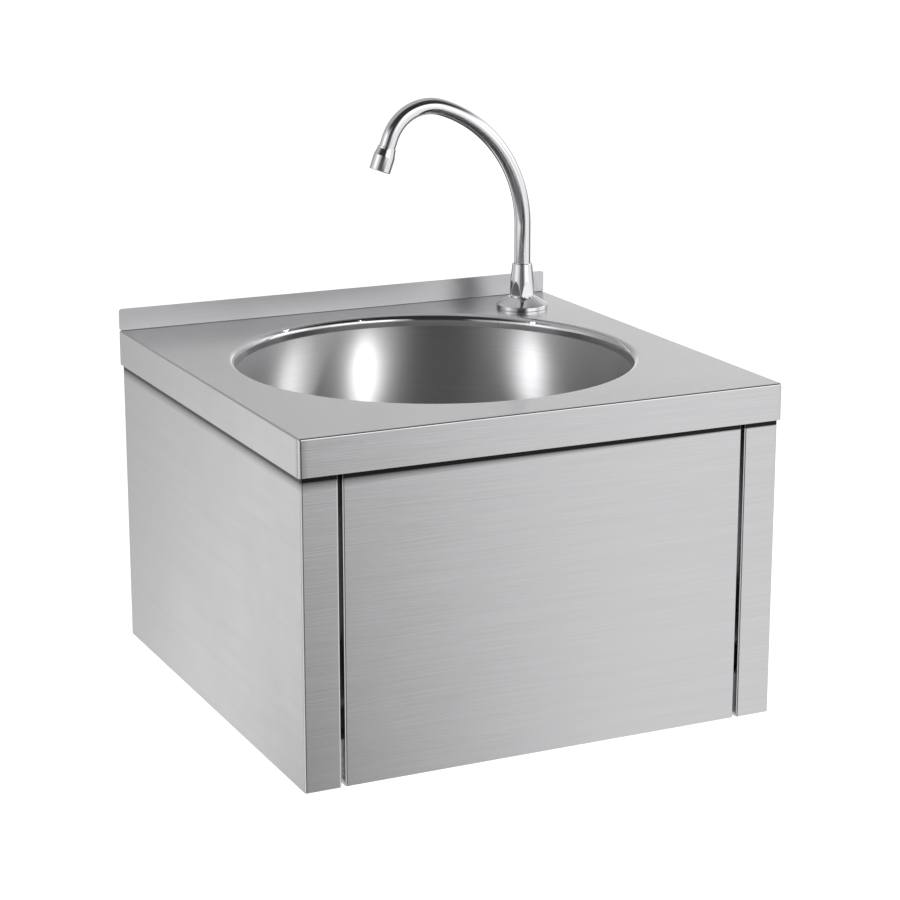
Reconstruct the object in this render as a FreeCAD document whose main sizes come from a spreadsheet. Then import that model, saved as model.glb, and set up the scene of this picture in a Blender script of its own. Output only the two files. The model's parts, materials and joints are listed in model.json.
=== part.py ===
"""Wall-mounted hand wash sink worked by the knee, as an assembly of separate pieces.

Lengths are in millimetres.  +Z is up, +X is to the right of a person who faces the sink, and the
wall is the plane y = 0, so the sink stands out towards -Y.  The origin is the centre of the four
wall-fixing holes.  Every size is a cell of the "sizes" sheet; the pieces are bound to the cells.
"""
import FreeCAD, Part
import math
import os
import re

import Sketcher
from FreeCAD import Placement, Rotation, Vector

SIZES = (
    # alias, value, what it is
    ("overall_width", 400.0, "deck, side to side"),
    ("overall_depth", 400.0, "deck, wall to front"),
    ("deck_height", 150.0, "deck top above the wall fixings"),
    ("apron_height", 29.0, "folded edge of the deck"),
    ("splash_height", 18.5, "upstand at the wall"),
    ("casing_height", 268.0, "deck top to the bottom of the casing"),
    ("sheet_thickness", 1.0, "thickness of the deck, bowl and casing"),
    ("bend_radius", 1.5, "outer radius of a fold"),
    ("corner_radius", 2.5, "welded and ground corner"),
    ("relief_radius", 1.3, "notch where apron and upstand part"),
    ("panel_setback", 2.2, "casing face behind the apron's face"),
    ("flange_width", 29.0, "visible flange beside the knee panel"),
    ("flange_return", 15.0, "depth of that flange's inner fold"),
    ("wall_flange", 35.0, "rear flange that meets the wall"),
    ("top_flange", 12.0, "fold of the side panel under the deck"),
    ("fixing_inset", 17.0, "side of the deck to a wall fixing"),
    ("fixing_spacing_z", 160.0, "wall fixings, up and down"),
    ("fixing_radius", 4.5, "wall-fixing hole"),
    ("panel_gap", 3.0, "slot between flange and knee panel"),
    ("panel_fold", 15.0, "folded edges of the knee panel"),
    ("panel_top_drop", 14.0, "deck top to the top of the knee panel"),
    ("top_fold", 6.0, "folded top edge of the knee panel"),
    ("pivot_setback", 8.8, "pivot behind the panel's face"),
    ("pivot_drop", 22.0, "pivot below the deck top"),
    ("pin_radius", 3.0, "pivot pin"),
    ("pin_head_radius", 5.5, "head of the pivot pin"),
    ("pin_head_height", 2.0, "head of the pivot pin"),
    ("bush_wall", 1.5, "wall of the pivot bush"),
    ("bush_flange", 3.0, "reach of the bush's flange"),
    ("bush_length", 6.0, "pivot bush"),
    ("clip_height", 1.0, "spring clip on the pin"),
    ("clip_reach", 2.5, "spring clip beyond the pin"),
    ("tab_height", 26.0, "stop tab of the knee panel"),
    ("tab_reach", 9.0, "stop tab, outwards"),
    ("tab_rise", 30.0, "stop tab above the casing bottom"),
    ("buffer_height", 2.0, "rubber stop buffer"),
    ("brace_height", 40.0, "rear brace, upright leg"),
    ("brace_fold", 15.0, "rear brace, flat leg"),
    ("brace_drop", 10.0, "deck top to the top of the rear brace"),
    ("rail_thickness", 1.5, "thickness of the valve rail"),
    ("rail_height", 50.0, "web of the valve rail"),
    ("rail_fold", 15.0, "folded edges of the valve rail"),
    ("rail_setback", 45.8, "rail's web behind the casing's face"),
    ("rim_front", 38.0, "front of the deck to the bowl's rim"),
    ("rim_back", 32.0, "wall to the bowl's rim"),
    ("bowl_depth", 145.0, "deck top to the waste"),
    ("rim_roll", 6.0, "radius of the rolled rim"),
    ("lip_height", 10.0, "deck top to the end of the rolled lip"),
    ("wall_taper", 7.0, "how much the bowl's wall draws in"),
    ("floor_fall", 6.0, "fall of the floor to the waste"),
    ("floor_radius", 66.0, "radius between wall and floor"),
    ("recess_radius", 36.0, "recess of the waste"),
    ("recess_depth", 3.0, "recess of the waste"),
    ("waste_hole", 24.0, "hole in the bowl for the waste"),
    ("gasket_height", 1.5, "waste gaskets"),
    ("strainer_height", 1.5, "strainer plate"),
    ("strainer_radius", 33.5, "strainer plate"),
    ("strainer_hole", 2.6, "hole of the strainer"),
    ("inner_ring", 11.0, "inner ring of strainer holes"),
    ("outer_ring", 19.5, "outer ring of strainer holes"),
    ("screw_radius", 3.0, "screw of the strainer"),
    ("screw_head", 6.0, "head of that screw"),
    ("tail_radius", 20.95, "waste tail, 1 1/4 inch pipe thread"),
    ("tail_bore", 18.0, "waste tail's bore"),
    ("tail_length", 52.0, "waste body below its gasket"),
    ("bridge_height", 4.0, "bridge that takes the strainer's screw"),
    ("bridge_drop", 20.0, "bridge below the waste body's top"),
    ("cup_depth", 16.0, "taper from the waste hole to the tail's bore"),
    ("tap_inset", 50.0, "tap's axis from the right edge"),
    ("tap_back", 57.0, "tap's axis from the wall"),
    ("tap_hole", 11.0, "hole in the deck for the tap"),
    ("shank_radius", 10.48, "tap shank, 1/2 inch pipe thread"),
    ("shank_drop", 45.0, "tap shank below the deck top"),
    ("shank_bore", 4.5, "water way of the tap"),
    ("shank_flange", 15.0, "flange of the tap shank"),
    ("boss_radius", 8.3, "threaded boss inside the collar"),
    ("boss_height", 20.0, "top of that boss above the deck"),
    ("flange_height", 3.0, "flange of the tap shank"),
    ("tap_gasket_height", 1.5, "gasket under the tap"),
    ("washer_height", 2.0, "washer under the deck"),
    ("lock_nut_height", 8.0, "lock nut of the tap shank"),
    ("escutcheon_radius", 22.4, "tap's base plate"),
    ("escutcheon_rim", 3.4, "upright rim of the base plate"),
    ("escutcheon_height", 10.0, "top of the base plate"),
    ("escutcheon_top", 12.0, "flat top of the base plate"),
    ("escutcheon_wall", 1.4, "wall of the base plate"),
    ("collar_height", 29.5, "collar above the base plate"),
    ("collar_foot", 11.6, "collar's cone at its foot"),
    ("collar_top", 8.6, "collar's cone at its top"),
    ("collar_flat", 10.2, "axis to each of the collar's six flats"),
    ("collar_chamfer", 1.5, "bevel at the collar's foot"),
    ("tube_radius", 7.0, "swan-neck tube"),
    ("tube_wall", 1.0, "wall of the tube"),
    ("tube_seat", 10.0, "foot of the tube below the deck top"),
    ("oring_wire", 0.7, "section radius of the tube's seals"),
    ("oring_pitch", 4.5, "upper seal to lower seal"),
    ("tube_rise", 73.2, "deck top to the start of the bend"),
    ("bend_wide", 111.0, "rising bend of the swan neck"),
    ("bend_tight", 38.5, "falling bend of the swan neck"),
    ("angle_wide", 72.7, "degrees turned by the rising bend"),
    ("angle_total", 160.2, "degrees turned by both bends"),
    ("nozzle_run", 28.6, "end of the bend to the nozzle's mouth"),
    ("nozzle_cover", 21.0, "length of the aerator housing"),
    ("nozzle_radius", 9.15, "aerator housing"),
    ("nozzle_wall", 1.2, "wall of the aerator housing"),
    ("nozzle_neck", 7.9, "neck of the aerator housing"),
    ("nozzle_taper", 6.0, "sloping shoulder of the aerator housing"),
    ("nozzle_mouth", 7.3, "opening of the aerator housing"),
    ("washer_bore", 4.1, "bore of the aerator's washer"),
    ("tube_in_nozzle", 10.0, "tube inside the aerator housing"),
    ("valve_drop", 195.0, "deck top to the valve's axis"),
    ("barrel_radius", 18.0, "valve barrel"),
    ("barrel_length", 52.0, "valve barrel behind the rail"),
    ("neck_radius", 12.0, "threaded neck through the rail"),
    ("neck_length", 20.0, "threaded neck, forward of the barrel"),
    ("valve_nut_wall", 4.0, "neck's thread to a flat of its lock nut"),
    ("valve_nut_height", 6.5, "lock nut of the neck"),
    ("nut_wall", 3.0, "thread to a flat of the other nuts"),
    ("stem_radius", 9.0, "stem of the valve's button"),
    ("stem_inside", 4.0, "stem inside the barrel"),
    ("guide_length", 8.0, "guide at the mouth of the barrel"),
    ("chamber_radius", 13.0, "chamber of the barrel"),
    ("button_radius", 13.0, "head of the valve's button"),
    ("button_rim", 2.5, "rim of that head"),
    ("button_dome", 2.0, "fall of that head from its middle to its rim"),
    ("button_crown", 25.0, "radius of the head's crown, on which the panel's pad rolls"),
    ("striker_radius", 17.0, "striker pad"),
    ("striker_height", 3.0, "striker pad"),
    ("spring_wire", 1.4, "wire of the valve's spring"),
    ("spring_turns", 5.0, "turns of the valve's spring"),
    ("outlet_back", 30.0, "valve's side ports behind the rail"),
    ("outlet_radius", 8.3, "outlet nipple, 3/8 inch pipe thread"),
    ("outlet_reach", 40.0, "outlet nipple from the valve's axis"),
    ("port_bore", 5.0, "bore of the valve's ports"),
    ("mixer_neck", 9.0, "neck between valve and mixer"),
    ("mixer_drop", 40.0, "valve's axis to the mixer's axis"),
    ("mixer_radius", 13.0, "mixer bar"),
    ("mixer_half", 45.0, "mixer bar, half its length"),
    ("mixer_bore", 8.5, "bore of the mixer bar"),
    ("inlet_spacing", 64.0, "hot and cold inlets, centre to centre"),
    ("inlet_radius", 10.48, "inlet thread, 1/2 inch pipe"),
    ("inlet_reach", 34.0, "inlet's end from the mixer's axis"),
    ("inlet_thread", 14.0, "length of the inlet thread"),
    ("inlet_collar", 12.0, "collar behind the inlet thread"),
    ("inlet_bore", 8.0, "bore of the inlet"),
    ("check_length", 12.0, "check-valve cartridge"),
    ("gland_height", 8.0, "plug and gland of the mixer bar"),
    ("spindle_radius", 4.0, "mixer's spindle"),
    ("spindle_length", 30.0, "mixer's spindle"),
    ("knob_radius", 17.0, "temperature knob"),
    ("knob_height", 16.0, "temperature knob"),
    ("grip_radius", 2.8, "finger grooves round the knob"),
    ("grip_centre", 19.0, "knob's axis to a groove's centre"),
    ("hose_radius", 6.5, "braided hose"),
    ("hose_wall", 2.0, "wall of the hose"),
    ("hose_bend", 70.0, "bends of the hose"),
    ("ferrule_radius", 7.6, "crimped end of the hose"),
    ("ferrule_length", 18.0, "crimped end of the hose"),
    ("hose_nut_height", 14.0, "union nuts of the hose"),
    ("fit_gap", 0.3, "between pieces that must not touch"),
    ("running_gap", 0.05, "radial, between a shaft and its hole"),
)

doc = FreeCAD.newDocument("knee_sink")
sheet = doc.addObject("Spreadsheet::Sheet", "sizes")
for row, (alias, number, meaning) in enumerate(SIZES, 1):
    sheet.set(f"A{row}", meaning)
    sheet.set(f"B{row}", str(number))
    sheet.setAlias(f"B{row}", alias)
doc.recompute()

# Places that several pieces share, as expressions over the sheet.
HALF = "(overall_width / 2)"
CASING_HALF = "(overall_width / 2 - panel_setback)"
FRONT = "(overall_depth - panel_setback)"
CASING_BOTTOM = "(deck_height - casing_height)"
UNDER_DECK = "(deck_height - sheet_thickness)"
FLANGE_EDGE = f"({CASING_HALF} - flange_width)"
PANEL_HALF = f"({FLANGE_EDGE} - panel_gap)"
PANEL_TOP = "(deck_height - panel_top_drop)"
PIVOT_Y = f"(-{FRONT} + pivot_setback)"
PIVOT_Z = "(deck_height - pivot_drop)"
TAB_FRONT = f"(-{FRONT} + flange_return + fit_gap + buffer_height)"
RAIL_BACK = f"(-{FRONT} + rail_setback + rail_thickness)"
VALVE_Z = "(deck_height - valve_drop)"
PORT_Y = f"({RAIL_BACK} + outlet_back)"
MIXER_Z = f"({VALVE_Z} - mixer_drop)"
TAP_X = f"({HALF} - tap_inset)"
BOWL_RADIUS = "((overall_depth - rim_front - rim_back) / 2)"
BOWL_Y = f"(-rim_back - {BOWL_RADIUS})"
RIM_INNER = f"({BOWL_RADIUS} - rim_roll)"
RECESS_Z = "(deck_height - bowl_depth - recess_depth)"
WASTE_TOP = f"({RECESS_Z} - sheet_thickness - gasket_height)"
BUTTON_FACE = f"(-{FRONT} + sheet_thickness + striker_height + fit_gap)"
BUTTON_AHEAD = f"({RAIL_BACK} - {BUTTON_FACE})"
BUTTON_BACK = f"({BUTTON_AHEAD} - button_dome - button_rim)"

TURNS = {
    "Z": Rotation(),
    "-Z": Rotation(Vector(1, 0, 0), 180),
    "Y": Rotation(Vector(1, 0, 0), -90),
    "X": Rotation(Vector(0, 1, 0), 90),
    "-X": Rotation(Vector(0, 1, 0), -90),
}

NEAR = 1e-3  # lengths closer than this are the same when an edge or a face is looked up

COLLAR_FLAT_COUNT = 6
GRIP_GROOVE_COUNT = 10
STRAINER_HOLES = (("inner_ring", 8), ("outer_ring", 14))  # a ring's radius, and its number of holes

pieces = []


# ---------------------------------------------------------------- helpers

def full(expression):
    """Put the sheet's name before each alias; an alias is the only word with an underscore."""
    return re.sub(r"\b[a-z]+(?:_[a-z]+)+\b", lambda found: "sizes." + found.group(0), str(expression))


def value(expression):
    """The number that an expression over the sheet gives now."""
    return float(sheet.evalExpression(full(expression)))


def bind(thing, attribute, expression):
    """Tie one property of an object to an expression over the sheet."""
    thing.setExpression(attribute, full(expression))


def keep(piece, label):
    """Name a finished piece and put it on the list that is written out."""
    piece.Label = label
    pieces.append(piece)
    return piece


def new_body(name):
    return doc.addObject("PartDesign::Body", name + "_body")


def sketch_on(body, plane, offset="0"):
    """A sketch on one of the body's own origin planes, moved along the plane's normal."""
    sketch = body.newObject("Sketcher::SketchObject", body.Name + "_sketch")
    support = next(item for item in body.Origin.OriginFeatures if item.Role == plane)
    sketch.AttachmentSupport = [(support, "")]
    sketch.MapMode = "FlatFace"
    if offset != "0":
        sketch.AttachmentOffset = Placement(Vector(0, 0, value(offset)), Rotation())
        bind(sketch, "AttachmentOffset.Base.z", offset)
    return sketch


def fix_point(sketch, geometry, position, x, y):
    """Dimension a point from the sketch's axes, or lay it on the axis where the distance is nought."""
    for kind, distance, axis in (("DistanceX", x, -2), ("DistanceY", y, -1)):
        if distance == "0":
            sketch.addConstraint(Sketcher.Constraint("PointOnObject", geometry, position, axis))
        else:
            rule = Sketcher.Constraint(kind, -1, 1, geometry, position, value(distance))
            index = sketch.addConstraint(rule)
            bind(sketch, f"Constraints[{index}]", distance)


def outline(sketch, corners):
    """A closed run of straight lines.

    A corner is a pair of expressions.  A third expression is the radius of an arc that rounds it;
    the corner itself then stays in the sketch as a construction point, which carries the sizes.
    """
    spots = [Vector(value(corner[0]), value(corner[1]), 0) for corner in corners]
    count = len(corners)
    leave, arrive, arcs = list(spots), list(spots), {}
    for i, corner in enumerate(corners):
        if len(corner) < 3:
            continue
        incoming = (spots[i] - spots[i - 1]).normalize()
        outgoing = (spots[(i + 1) % count] - spots[i]).normalize()
        radius, turn = value(corner[2]), incoming.getAngle(outgoing)
        left = incoming.cross(outgoing).z > 0
        cut = radius * math.tan(turn / 2)
        arrive[i], leave[i] = spots[i] - incoming * cut, spots[i] + outgoing * cut
        inwards = Vector(-incoming.y, incoming.x, 0) * (1 if left else -1)
        centre = arrive[i] + inwards * radius
        ends = (arrive[i], leave[i]) if left else (leave[i], arrive[i])
        angles = [math.atan2(end.y - centre.y, end.x - centre.x) for end in ends]
        arcs[i] = (Part.ArcOfCircle(Part.Circle(centre, Vector(0, 0, 1), radius), *angles), left)
    lines = []
    for i in range(count):
        segment = Part.LineSegment(leave[i], arrive[(i + 1) % count])
        lines.append(sketch.addGeometry(segment, False))
    for i, corner in enumerate(corners):
        before, after = lines[i - 1], lines[i]
        if i not in arcs:
            sketch.addConstraint(Sketcher.Constraint("Coincident", before, 2, after, 1))
            fix_point(sketch, after, 1, corner[0], corner[1])
            continue
        curve, left = arcs[i]
        arc = sketch.addGeometry(curve, False)
        first, last = (1, 2) if left else (2, 1)
        sketch.addConstraint(Sketcher.Constraint("Tangent", before, 2, arc, first))
        sketch.addConstraint(Sketcher.Constraint("Tangent", arc, last, after, 1))
        rule = sketch.addConstraint(Sketcher.Constraint("Radius", arc, value(corner[2])))
        bind(sketch, f"Constraints[{rule}]", corner[2])
        mark = sketch.addGeometry(Part.Point(spots[i]), True)
        sketch.addConstraint(Sketcher.Constraint("PointOnObject", mark, 1, before))
        sketch.addConstraint(Sketcher.Constraint("PointOnObject", mark, 1, after))
        fix_point(sketch, mark, 1, corner[0], corner[1])
    return sketch


def rectangle(sketch, left, bottom, right, top):
    return outline(sketch, [(left, bottom), (right, bottom), (right, top), (left, top)])


def circle(sketch, x, y, radius):
    middle = Vector(value(x), value(y), 0)
    index = sketch.addGeometry(Part.Circle(middle, Vector(0, 0, 1), value(radius)), False)
    fix_point(sketch, index, 3, x, y)
    rule = sketch.addConstraint(Sketcher.Constraint("Radius", index, value(radius)))
    bind(sketch, f"Constraints[{rule}]", radius)
    return sketch


def feature(body, kind, sketch, length=None, reverse=False, **settings):
    """Add a sketch-based feature, and see that it really adds or cuts."""
    before = body.Shape.Volume if body.Tip else 0.0
    step = body.newObject("PartDesign::" + kind, body.Name + "_" + kind.lower())
    step.Profile = sketch
    step.Reversed = reverse
    for name, setting in settings.items():
        setattr(step, name, setting)
    if length is not None:
        step.Length = value(length)
        bind(step, "Length", length)
    doc.recompute()
    adds = kind in ("Pad", "Revolution", "AdditivePipe")
    change = body.Shape.Volume - before
    if (change > 0) != adds or abs(change) < 1e-6:
        raise RuntimeError(f"{body.Name}: {kind} changes the volume by {change:.4f}")
    return step


def edges_where(step, test):
    return [f"Edge{i}" for i, edge in enumerate(step.Shape.Edges, 1) if test(edge)]


def faces_where(step, test):
    return [f"Face{i}" for i, face in enumerate(step.Shape.Faces, 1) if test(face)]


def rounded(body, names, radius, kind="Fillet"):
    """Round or bevel the named edges of the body's last feature."""
    base = body.Tip
    step = body.newObject("PartDesign::" + kind, body.Name + "_" + kind.lower())
    step.Base = (base, names)
    size = "Radius" if kind == "Fillet" else "Size"
    setattr(step, size, value(radius))
    bind(step, size, radius)
    doc.recompute()
    return step


def is_upright(edge):
    """A straight edge along Z."""
    start, end = edge.Vertexes[0].Point, edge.Vertexes[-1].Point
    return edge.Length > NEAR and abs((end - start).z) > edge.Length - NEAR


def runs_across(edge, y):
    """A long edge from side to side, at this place in front of the wall."""
    box = edge.BoundBox
    return box.XLength > value(CASING_HALF) and abs(box.YMin - y) < NEAR


def is_circle(edge, radius, height):
    """A whole circle about an upright axis, with this radius, at this height."""
    curve = edge.Curve
    if not isinstance(curve, Part.Circle):
        return False
    return abs(curve.Radius - radius) < NEAR and abs(curve.Center.z - height) < NEAR


def place(piece, x="0", y="0", z="0", direction="Z"):
    """Stand a piece's own Z axis along a direction, at a point given by expressions."""
    piece.Placement = Placement(Vector(value(x), value(y), value(z)), TURNS[direction])
    for axis, expression in (("x", x), ("y", y), ("z", z)):
        if expression != "0":
            bind(piece, f"Placement.Base.{axis}", expression)
    return piece


def around(body, step, count):
    """Repeat a step evenly round the body's Z axis."""
    ring = body.newObject("PartDesign::PolarPattern", body.Name + "_ring")
    ring.Originals = [step]
    ring.Axis = (next(item for item in body.Origin.OriginFeatures if item.Role == "Z_Axis"), [""])
    ring.Angle = 360
    ring.Occurrences = count
    body.Tip = ring
    doc.recompute()


def turned(name, profile, **where):
    """A body turned on a lathe: a closed outline of (radius, height) corners round its Z axis."""
    body = new_body(name)
    sketch = outline(sketch_on(body, "XZ_Plane"), profile)
    feature(body, "Revolution", sketch, ReferenceAxis=(sketch, ["V_Axis"]))
    return place(body, **where)


def hexagon(radius):
    """Corners of a hexagon with two flats square to the second axis; radius is to a flat."""
    reach = f"({radius} / cos(30))"
    return [(f"({reach} * cos({60 * i}))", "0" if i % 3 == 0 else f"({reach} * sin({60 * i}))")
            for i in range(6)]


def hex_nut(name, flat, height, bore, **where):
    """A nut with a round bore and corners turned off at both ends."""
    body = new_body(name)
    sketch = outline(sketch_on(body, "XY_Plane"), hexagon(flat))
    if bore:
        circle(sketch, "0", "0", bore)
    feature(body, "Pad", sketch, height)
    reach = f"({flat} * 1.2)"
    for low, high in (("0", f"({flat} * 0.12)"), (height, f"({height} - {flat} * 0.12)")):
        corner = outline(sketch_on(body, "XZ_Plane"), [(flat, low), (reach, low), (reach, high)])
        feature(body, "Groove", corner, ReferenceAxis=(corner, ["V_Axis"]))
    return place(body, **where)


def group(label, members):
    """Like pieces that share one name, kept as separate solids."""
    bundle = doc.addObject("Part::Compound", label + "_group")
    bundle.Links = members
    return keep(bundle, label)


def path_of(start, heading, moves):
    """A wire of straight runs and tangent arcs.

    A move is a length, or a radius with an angle in degrees and the axis that it turns about.
    """
    here, ahead = Vector(start), Vector(heading)
    edges = []
    for move in moves:
        if isinstance(move, float):
            there = here + ahead * move
            edges.append(Part.LineSegment(here, there).toShape())
        else:
            radius, angle, axis = move
            centre = here + axis.cross(ahead) * radius
            spoke = here - centre
            halfway = centre + Rotation(axis, angle / 2).multVec(spoke)
            there = centre + Rotation(axis, angle).multVec(spoke)
            ahead = Rotation(axis, angle).multVec(ahead)
            edges.append(Part.Arc(here, halfway, there).toShape())
        here = there
    return Part.Wire(edges), here, ahead


def tube_along(wire, start, heading, radius):
    """A round solid rod along a wire."""
    section = Part.Wire(Part.Circle(start, heading, radius).toShape())
    return wire.makePipeShell([section], True, False)


def report_tube(name, shape, wire, outer, inner):
    """Compare a tube's volume with its section times its length."""
    ideal = math.pi * (outer ** 2 - inner ** 2) * wire.Length
    print(f"{name}: length {wire.Length:.1f}, volume is {shape.Volume / ideal:.4f} of the ideal")


# ---------------------------------------------------------------- deck and bowl

def make_deck():
    """One folded sheet: top, apron on three sides, upstand at the wall and the bowl's rolled lip."""
    body = new_body("deck")
    bottom = "(deck_height - apron_height)"
    block = sketch_on(body, "XY_Plane", bottom)
    rectangle(block, f"-{HALF}", "-overall_depth", HALF, "0")
    step = feature(body, "Pad", block, "apron_height")
    front = -value("overall_depth")
    names = edges_where(step, lambda e: is_upright(e) and e.BoundBox.YMin < front + NEAR)
    step = rounded(body, names, "corner_radius")
    top = value("deck_height")
    names = edges_where(step, lambda e: e.BoundBox.ZMin > top - NEAR and e.BoundBox.YMin < -NEAR)
    step = rounded(body, names, "bend_radius")
    shell = body.newObject("PartDesign::Thickness", "deck_shell")
    low = value(bottom)
    bottom_and_back = faces_where(step, lambda f: f.BoundBox.ZMax < low + NEAR
                                  or f.BoundBox.YMin > -NEAR)
    shell.Base = (step, bottom_and_back)
    shell.Value = value("sheet_thickness")
    bind(shell, "Value", "sheet_thickness")
    shell.Reversed = True
    doc.recompute()

    hole = circle(sketch_on(body, "XY_Plane", "deck_height"), "0", BOWL_Y, RIM_INNER)
    feature(body, "Pocket", hole, "2 * sheet_thickness")
    lip = sketch_on(body, "XY_Plane", "(deck_height - lip_height)")
    circle(lip, "0", BOWL_Y, RIM_INNER)
    circle(lip, "0", BOWL_Y, f"({RIM_INNER} + sheet_thickness)")
    step = feature(body, "Pad", lip, "lip_height")
    rim = value(RIM_INNER)
    under = value(UNDER_DECK)
    names = edges_where(step, lambda e: is_circle(e, rim + value("sheet_thickness"), under))
    step = rounded(body, names, "(rim_roll - sheet_thickness)")
    names = edges_where(step, lambda e: is_circle(e, rim, top))
    rounded(body, names, "rim_roll")

    upstand = sketch_on(body, "XZ_Plane")
    rectangle(upstand, f"-{HALF}", UNDER_DECK, HALF, "(deck_height + splash_height)")
    step = feature(body, "Pad", upstand, "sheet_thickness")
    peak = value("deck_height + splash_height")
    side = value(HALF)

    def outer_corner(edge):
        box = edge.BoundBox
        flat = box.ZLength < NEAR and box.XLength < NEAR and abs(abs(box.XMin) - side) < NEAR
        return flat and abs(box.ZMin - peak) < NEAR

    rounded(body, edges_where(step, outer_corner), "corner_radius")
    reliefs = sketch_on(body, "XZ_Plane")
    for edge in (f"-{HALF}", HALF):
        circle(reliefs, edge, "deck_height", "relief_radius")
    feature(body, "Pocket", reliefs, "2 * relief_radius", reverse=True)
    tap = circle(sketch_on(body, "XY_Plane", "deck_height"), TAP_X, "-tap_back", "tap_hole")
    feature(body, "Pocket", tap, "2 * sheet_thickness")
    keep(body, "deck")


def make_bowl():
    """A drawn bowl: tapered wall, large floor radius and a recess for the waste."""
    body = new_body("bowl")
    edge_depth = "(bowl_depth - floor_fall)"

    def bowl_outline(wall):
        """Half the section of the bowl's outside or inside; wall is what it stands outwards."""
        sketch = sketch_on(body, "XZ_Plane")
        return outline(sketch, [
            ("0", "-lip_height"),
            (f"({RIM_INNER} + {wall})", "-lip_height"),
            (f"({RIM_INNER} - wall_taper + {wall})", f"-({edge_depth} + {wall})",
             f"(floor_radius + {wall})"),
            (f"(recess_radius + {wall})", f"-(bowl_depth + {wall})"),
            (f"(recess_radius + {wall})", f"-(bowl_depth + recess_depth + {wall})"),
            ("0", f"-(bowl_depth + recess_depth + {wall})"),
        ])

    for wall, kind in (("sheet_thickness", "Revolution"), ("0", "Groove")):
        profile = bowl_outline(wall)
        feature(body, kind, profile, ReferenceAxis=(profile, ["V_Axis"]))
    floor = sketch_on(body, "XY_Plane", "-(bowl_depth + recess_depth)")
    hole = circle(floor, "0", "0", "waste_hole")
    feature(body, "Pocket", hole, "2 * sheet_thickness")
    place(body, y=BOWL_Y, z="deck_height")
    keep(body, "bowl")


# ---------------------------------------------------------------- casing

def make_side_panel(side, word):
    """A folded side: front flange with a return, wall, rear flange with holes, flange under the deck."""
    body = new_body("side_panel_" + word)

    def across(inwards):
        return f"({side} * ({CASING_HALF} - {inwards}))"

    def back(inwards):
        return f"(-{FRONT} + {inwards})"

    section = sketch_on(body, "XY_Plane", CASING_BOTTOM)
    outline(section, [
        (across("0"), back("0")),
        (across("flange_width"), back("0")),
        (across("flange_width"), back("flange_return")),
        (across("(flange_width - sheet_thickness)"), back("flange_return")),
        (across("(flange_width - sheet_thickness)"), back("sheet_thickness")),
        (across("sheet_thickness"), back("sheet_thickness")),
        (across("sheet_thickness"), "-sheet_thickness"),
        (across("wall_flange"), "-sheet_thickness"),
        (across("wall_flange"), "0"),
        (across("0"), "0"),
    ])
    step = feature(body, "Pad", section, "(casing_height - sheet_thickness)")
    outer_x, inner_x = value(CASING_HALF), value(FLANGE_EDGE)
    front = -value(FRONT)
    wall = value("sheet_thickness")

    def at(edge, x, y):
        spot = edge.CenterOfMass
        return is_upright(edge) and abs(abs(spot.x) - x) < NEAR and abs(spot.y - y) < NEAR

    outside = edges_where(step, lambda e: at(e, outer_x, front) or at(e, inner_x, front)
                          or at(e, outer_x, 0))
    step = rounded(body, outside, "bend_radius")
    inside = edges_where(step, lambda e: at(e, outer_x - wall, front + wall)
                         or at(e, inner_x + wall, front + wall) or at(e, outer_x - wall, -wall))
    rounded(body, inside, "(bend_radius - sheet_thickness)")

    ledge = sketch_on(body, "XY_Plane", "(deck_height - 2 * sheet_thickness)")
    near, far = across("top_flange"), across("(sheet_thickness / 2)")
    outline(ledge, [(near, back("flange_return")), (far, back("flange_return")),
                    (far, "-flange_return"), (near, "-flange_return")])
    feature(body, "Pad", ledge, "sheet_thickness")
    holes = sketch_on(body, "XZ_Plane")
    for level in ("fixing_spacing_z / 2", "-fixing_spacing_z / 2"):
        circle(holes, f"({side} * ({HALF} - fixing_inset))", f"({level})", "fixing_radius")
    feature(body, "Pocket", holes, "2 * sheet_thickness", reverse=True)
    pivot = circle(sketch_on(body, "YZ_Plane"), PIVOT_Y, PIVOT_Z, "(pin_radius + running_gap)")
    flange_and_return = f"({FLANGE_EDGE} + flange_width / 2)"
    feature(body, "Pocket", pivot, flange_and_return, reverse=side > 0)
    keep(body, "side_panel_" + word)


def make_rear_brace():
    """An angle across the wall flanges, under the deck."""
    body = new_body("rear_brace")
    section = sketch_on(body, "YZ_Plane")
    top = "(deck_height - brace_drop)"
    bottom = "(deck_height - brace_drop - brace_height)"
    outline(section, [
        ("-sheet_thickness", top),
        ("-sheet_thickness", bottom),
        ("-(sheet_thickness + brace_fold)", bottom),
        ("-(sheet_thickness + brace_fold)", f"({bottom} + sheet_thickness)"),
        ("-2 * sheet_thickness", f"({bottom} + sheet_thickness)"),
        ("-2 * sheet_thickness", top),
    ])
    feature(body, "Pad", section, f"2 * ({CASING_HALF} - sheet_thickness - bend_radius)", Midplane=True)
    keep(body, "rear_brace")


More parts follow.
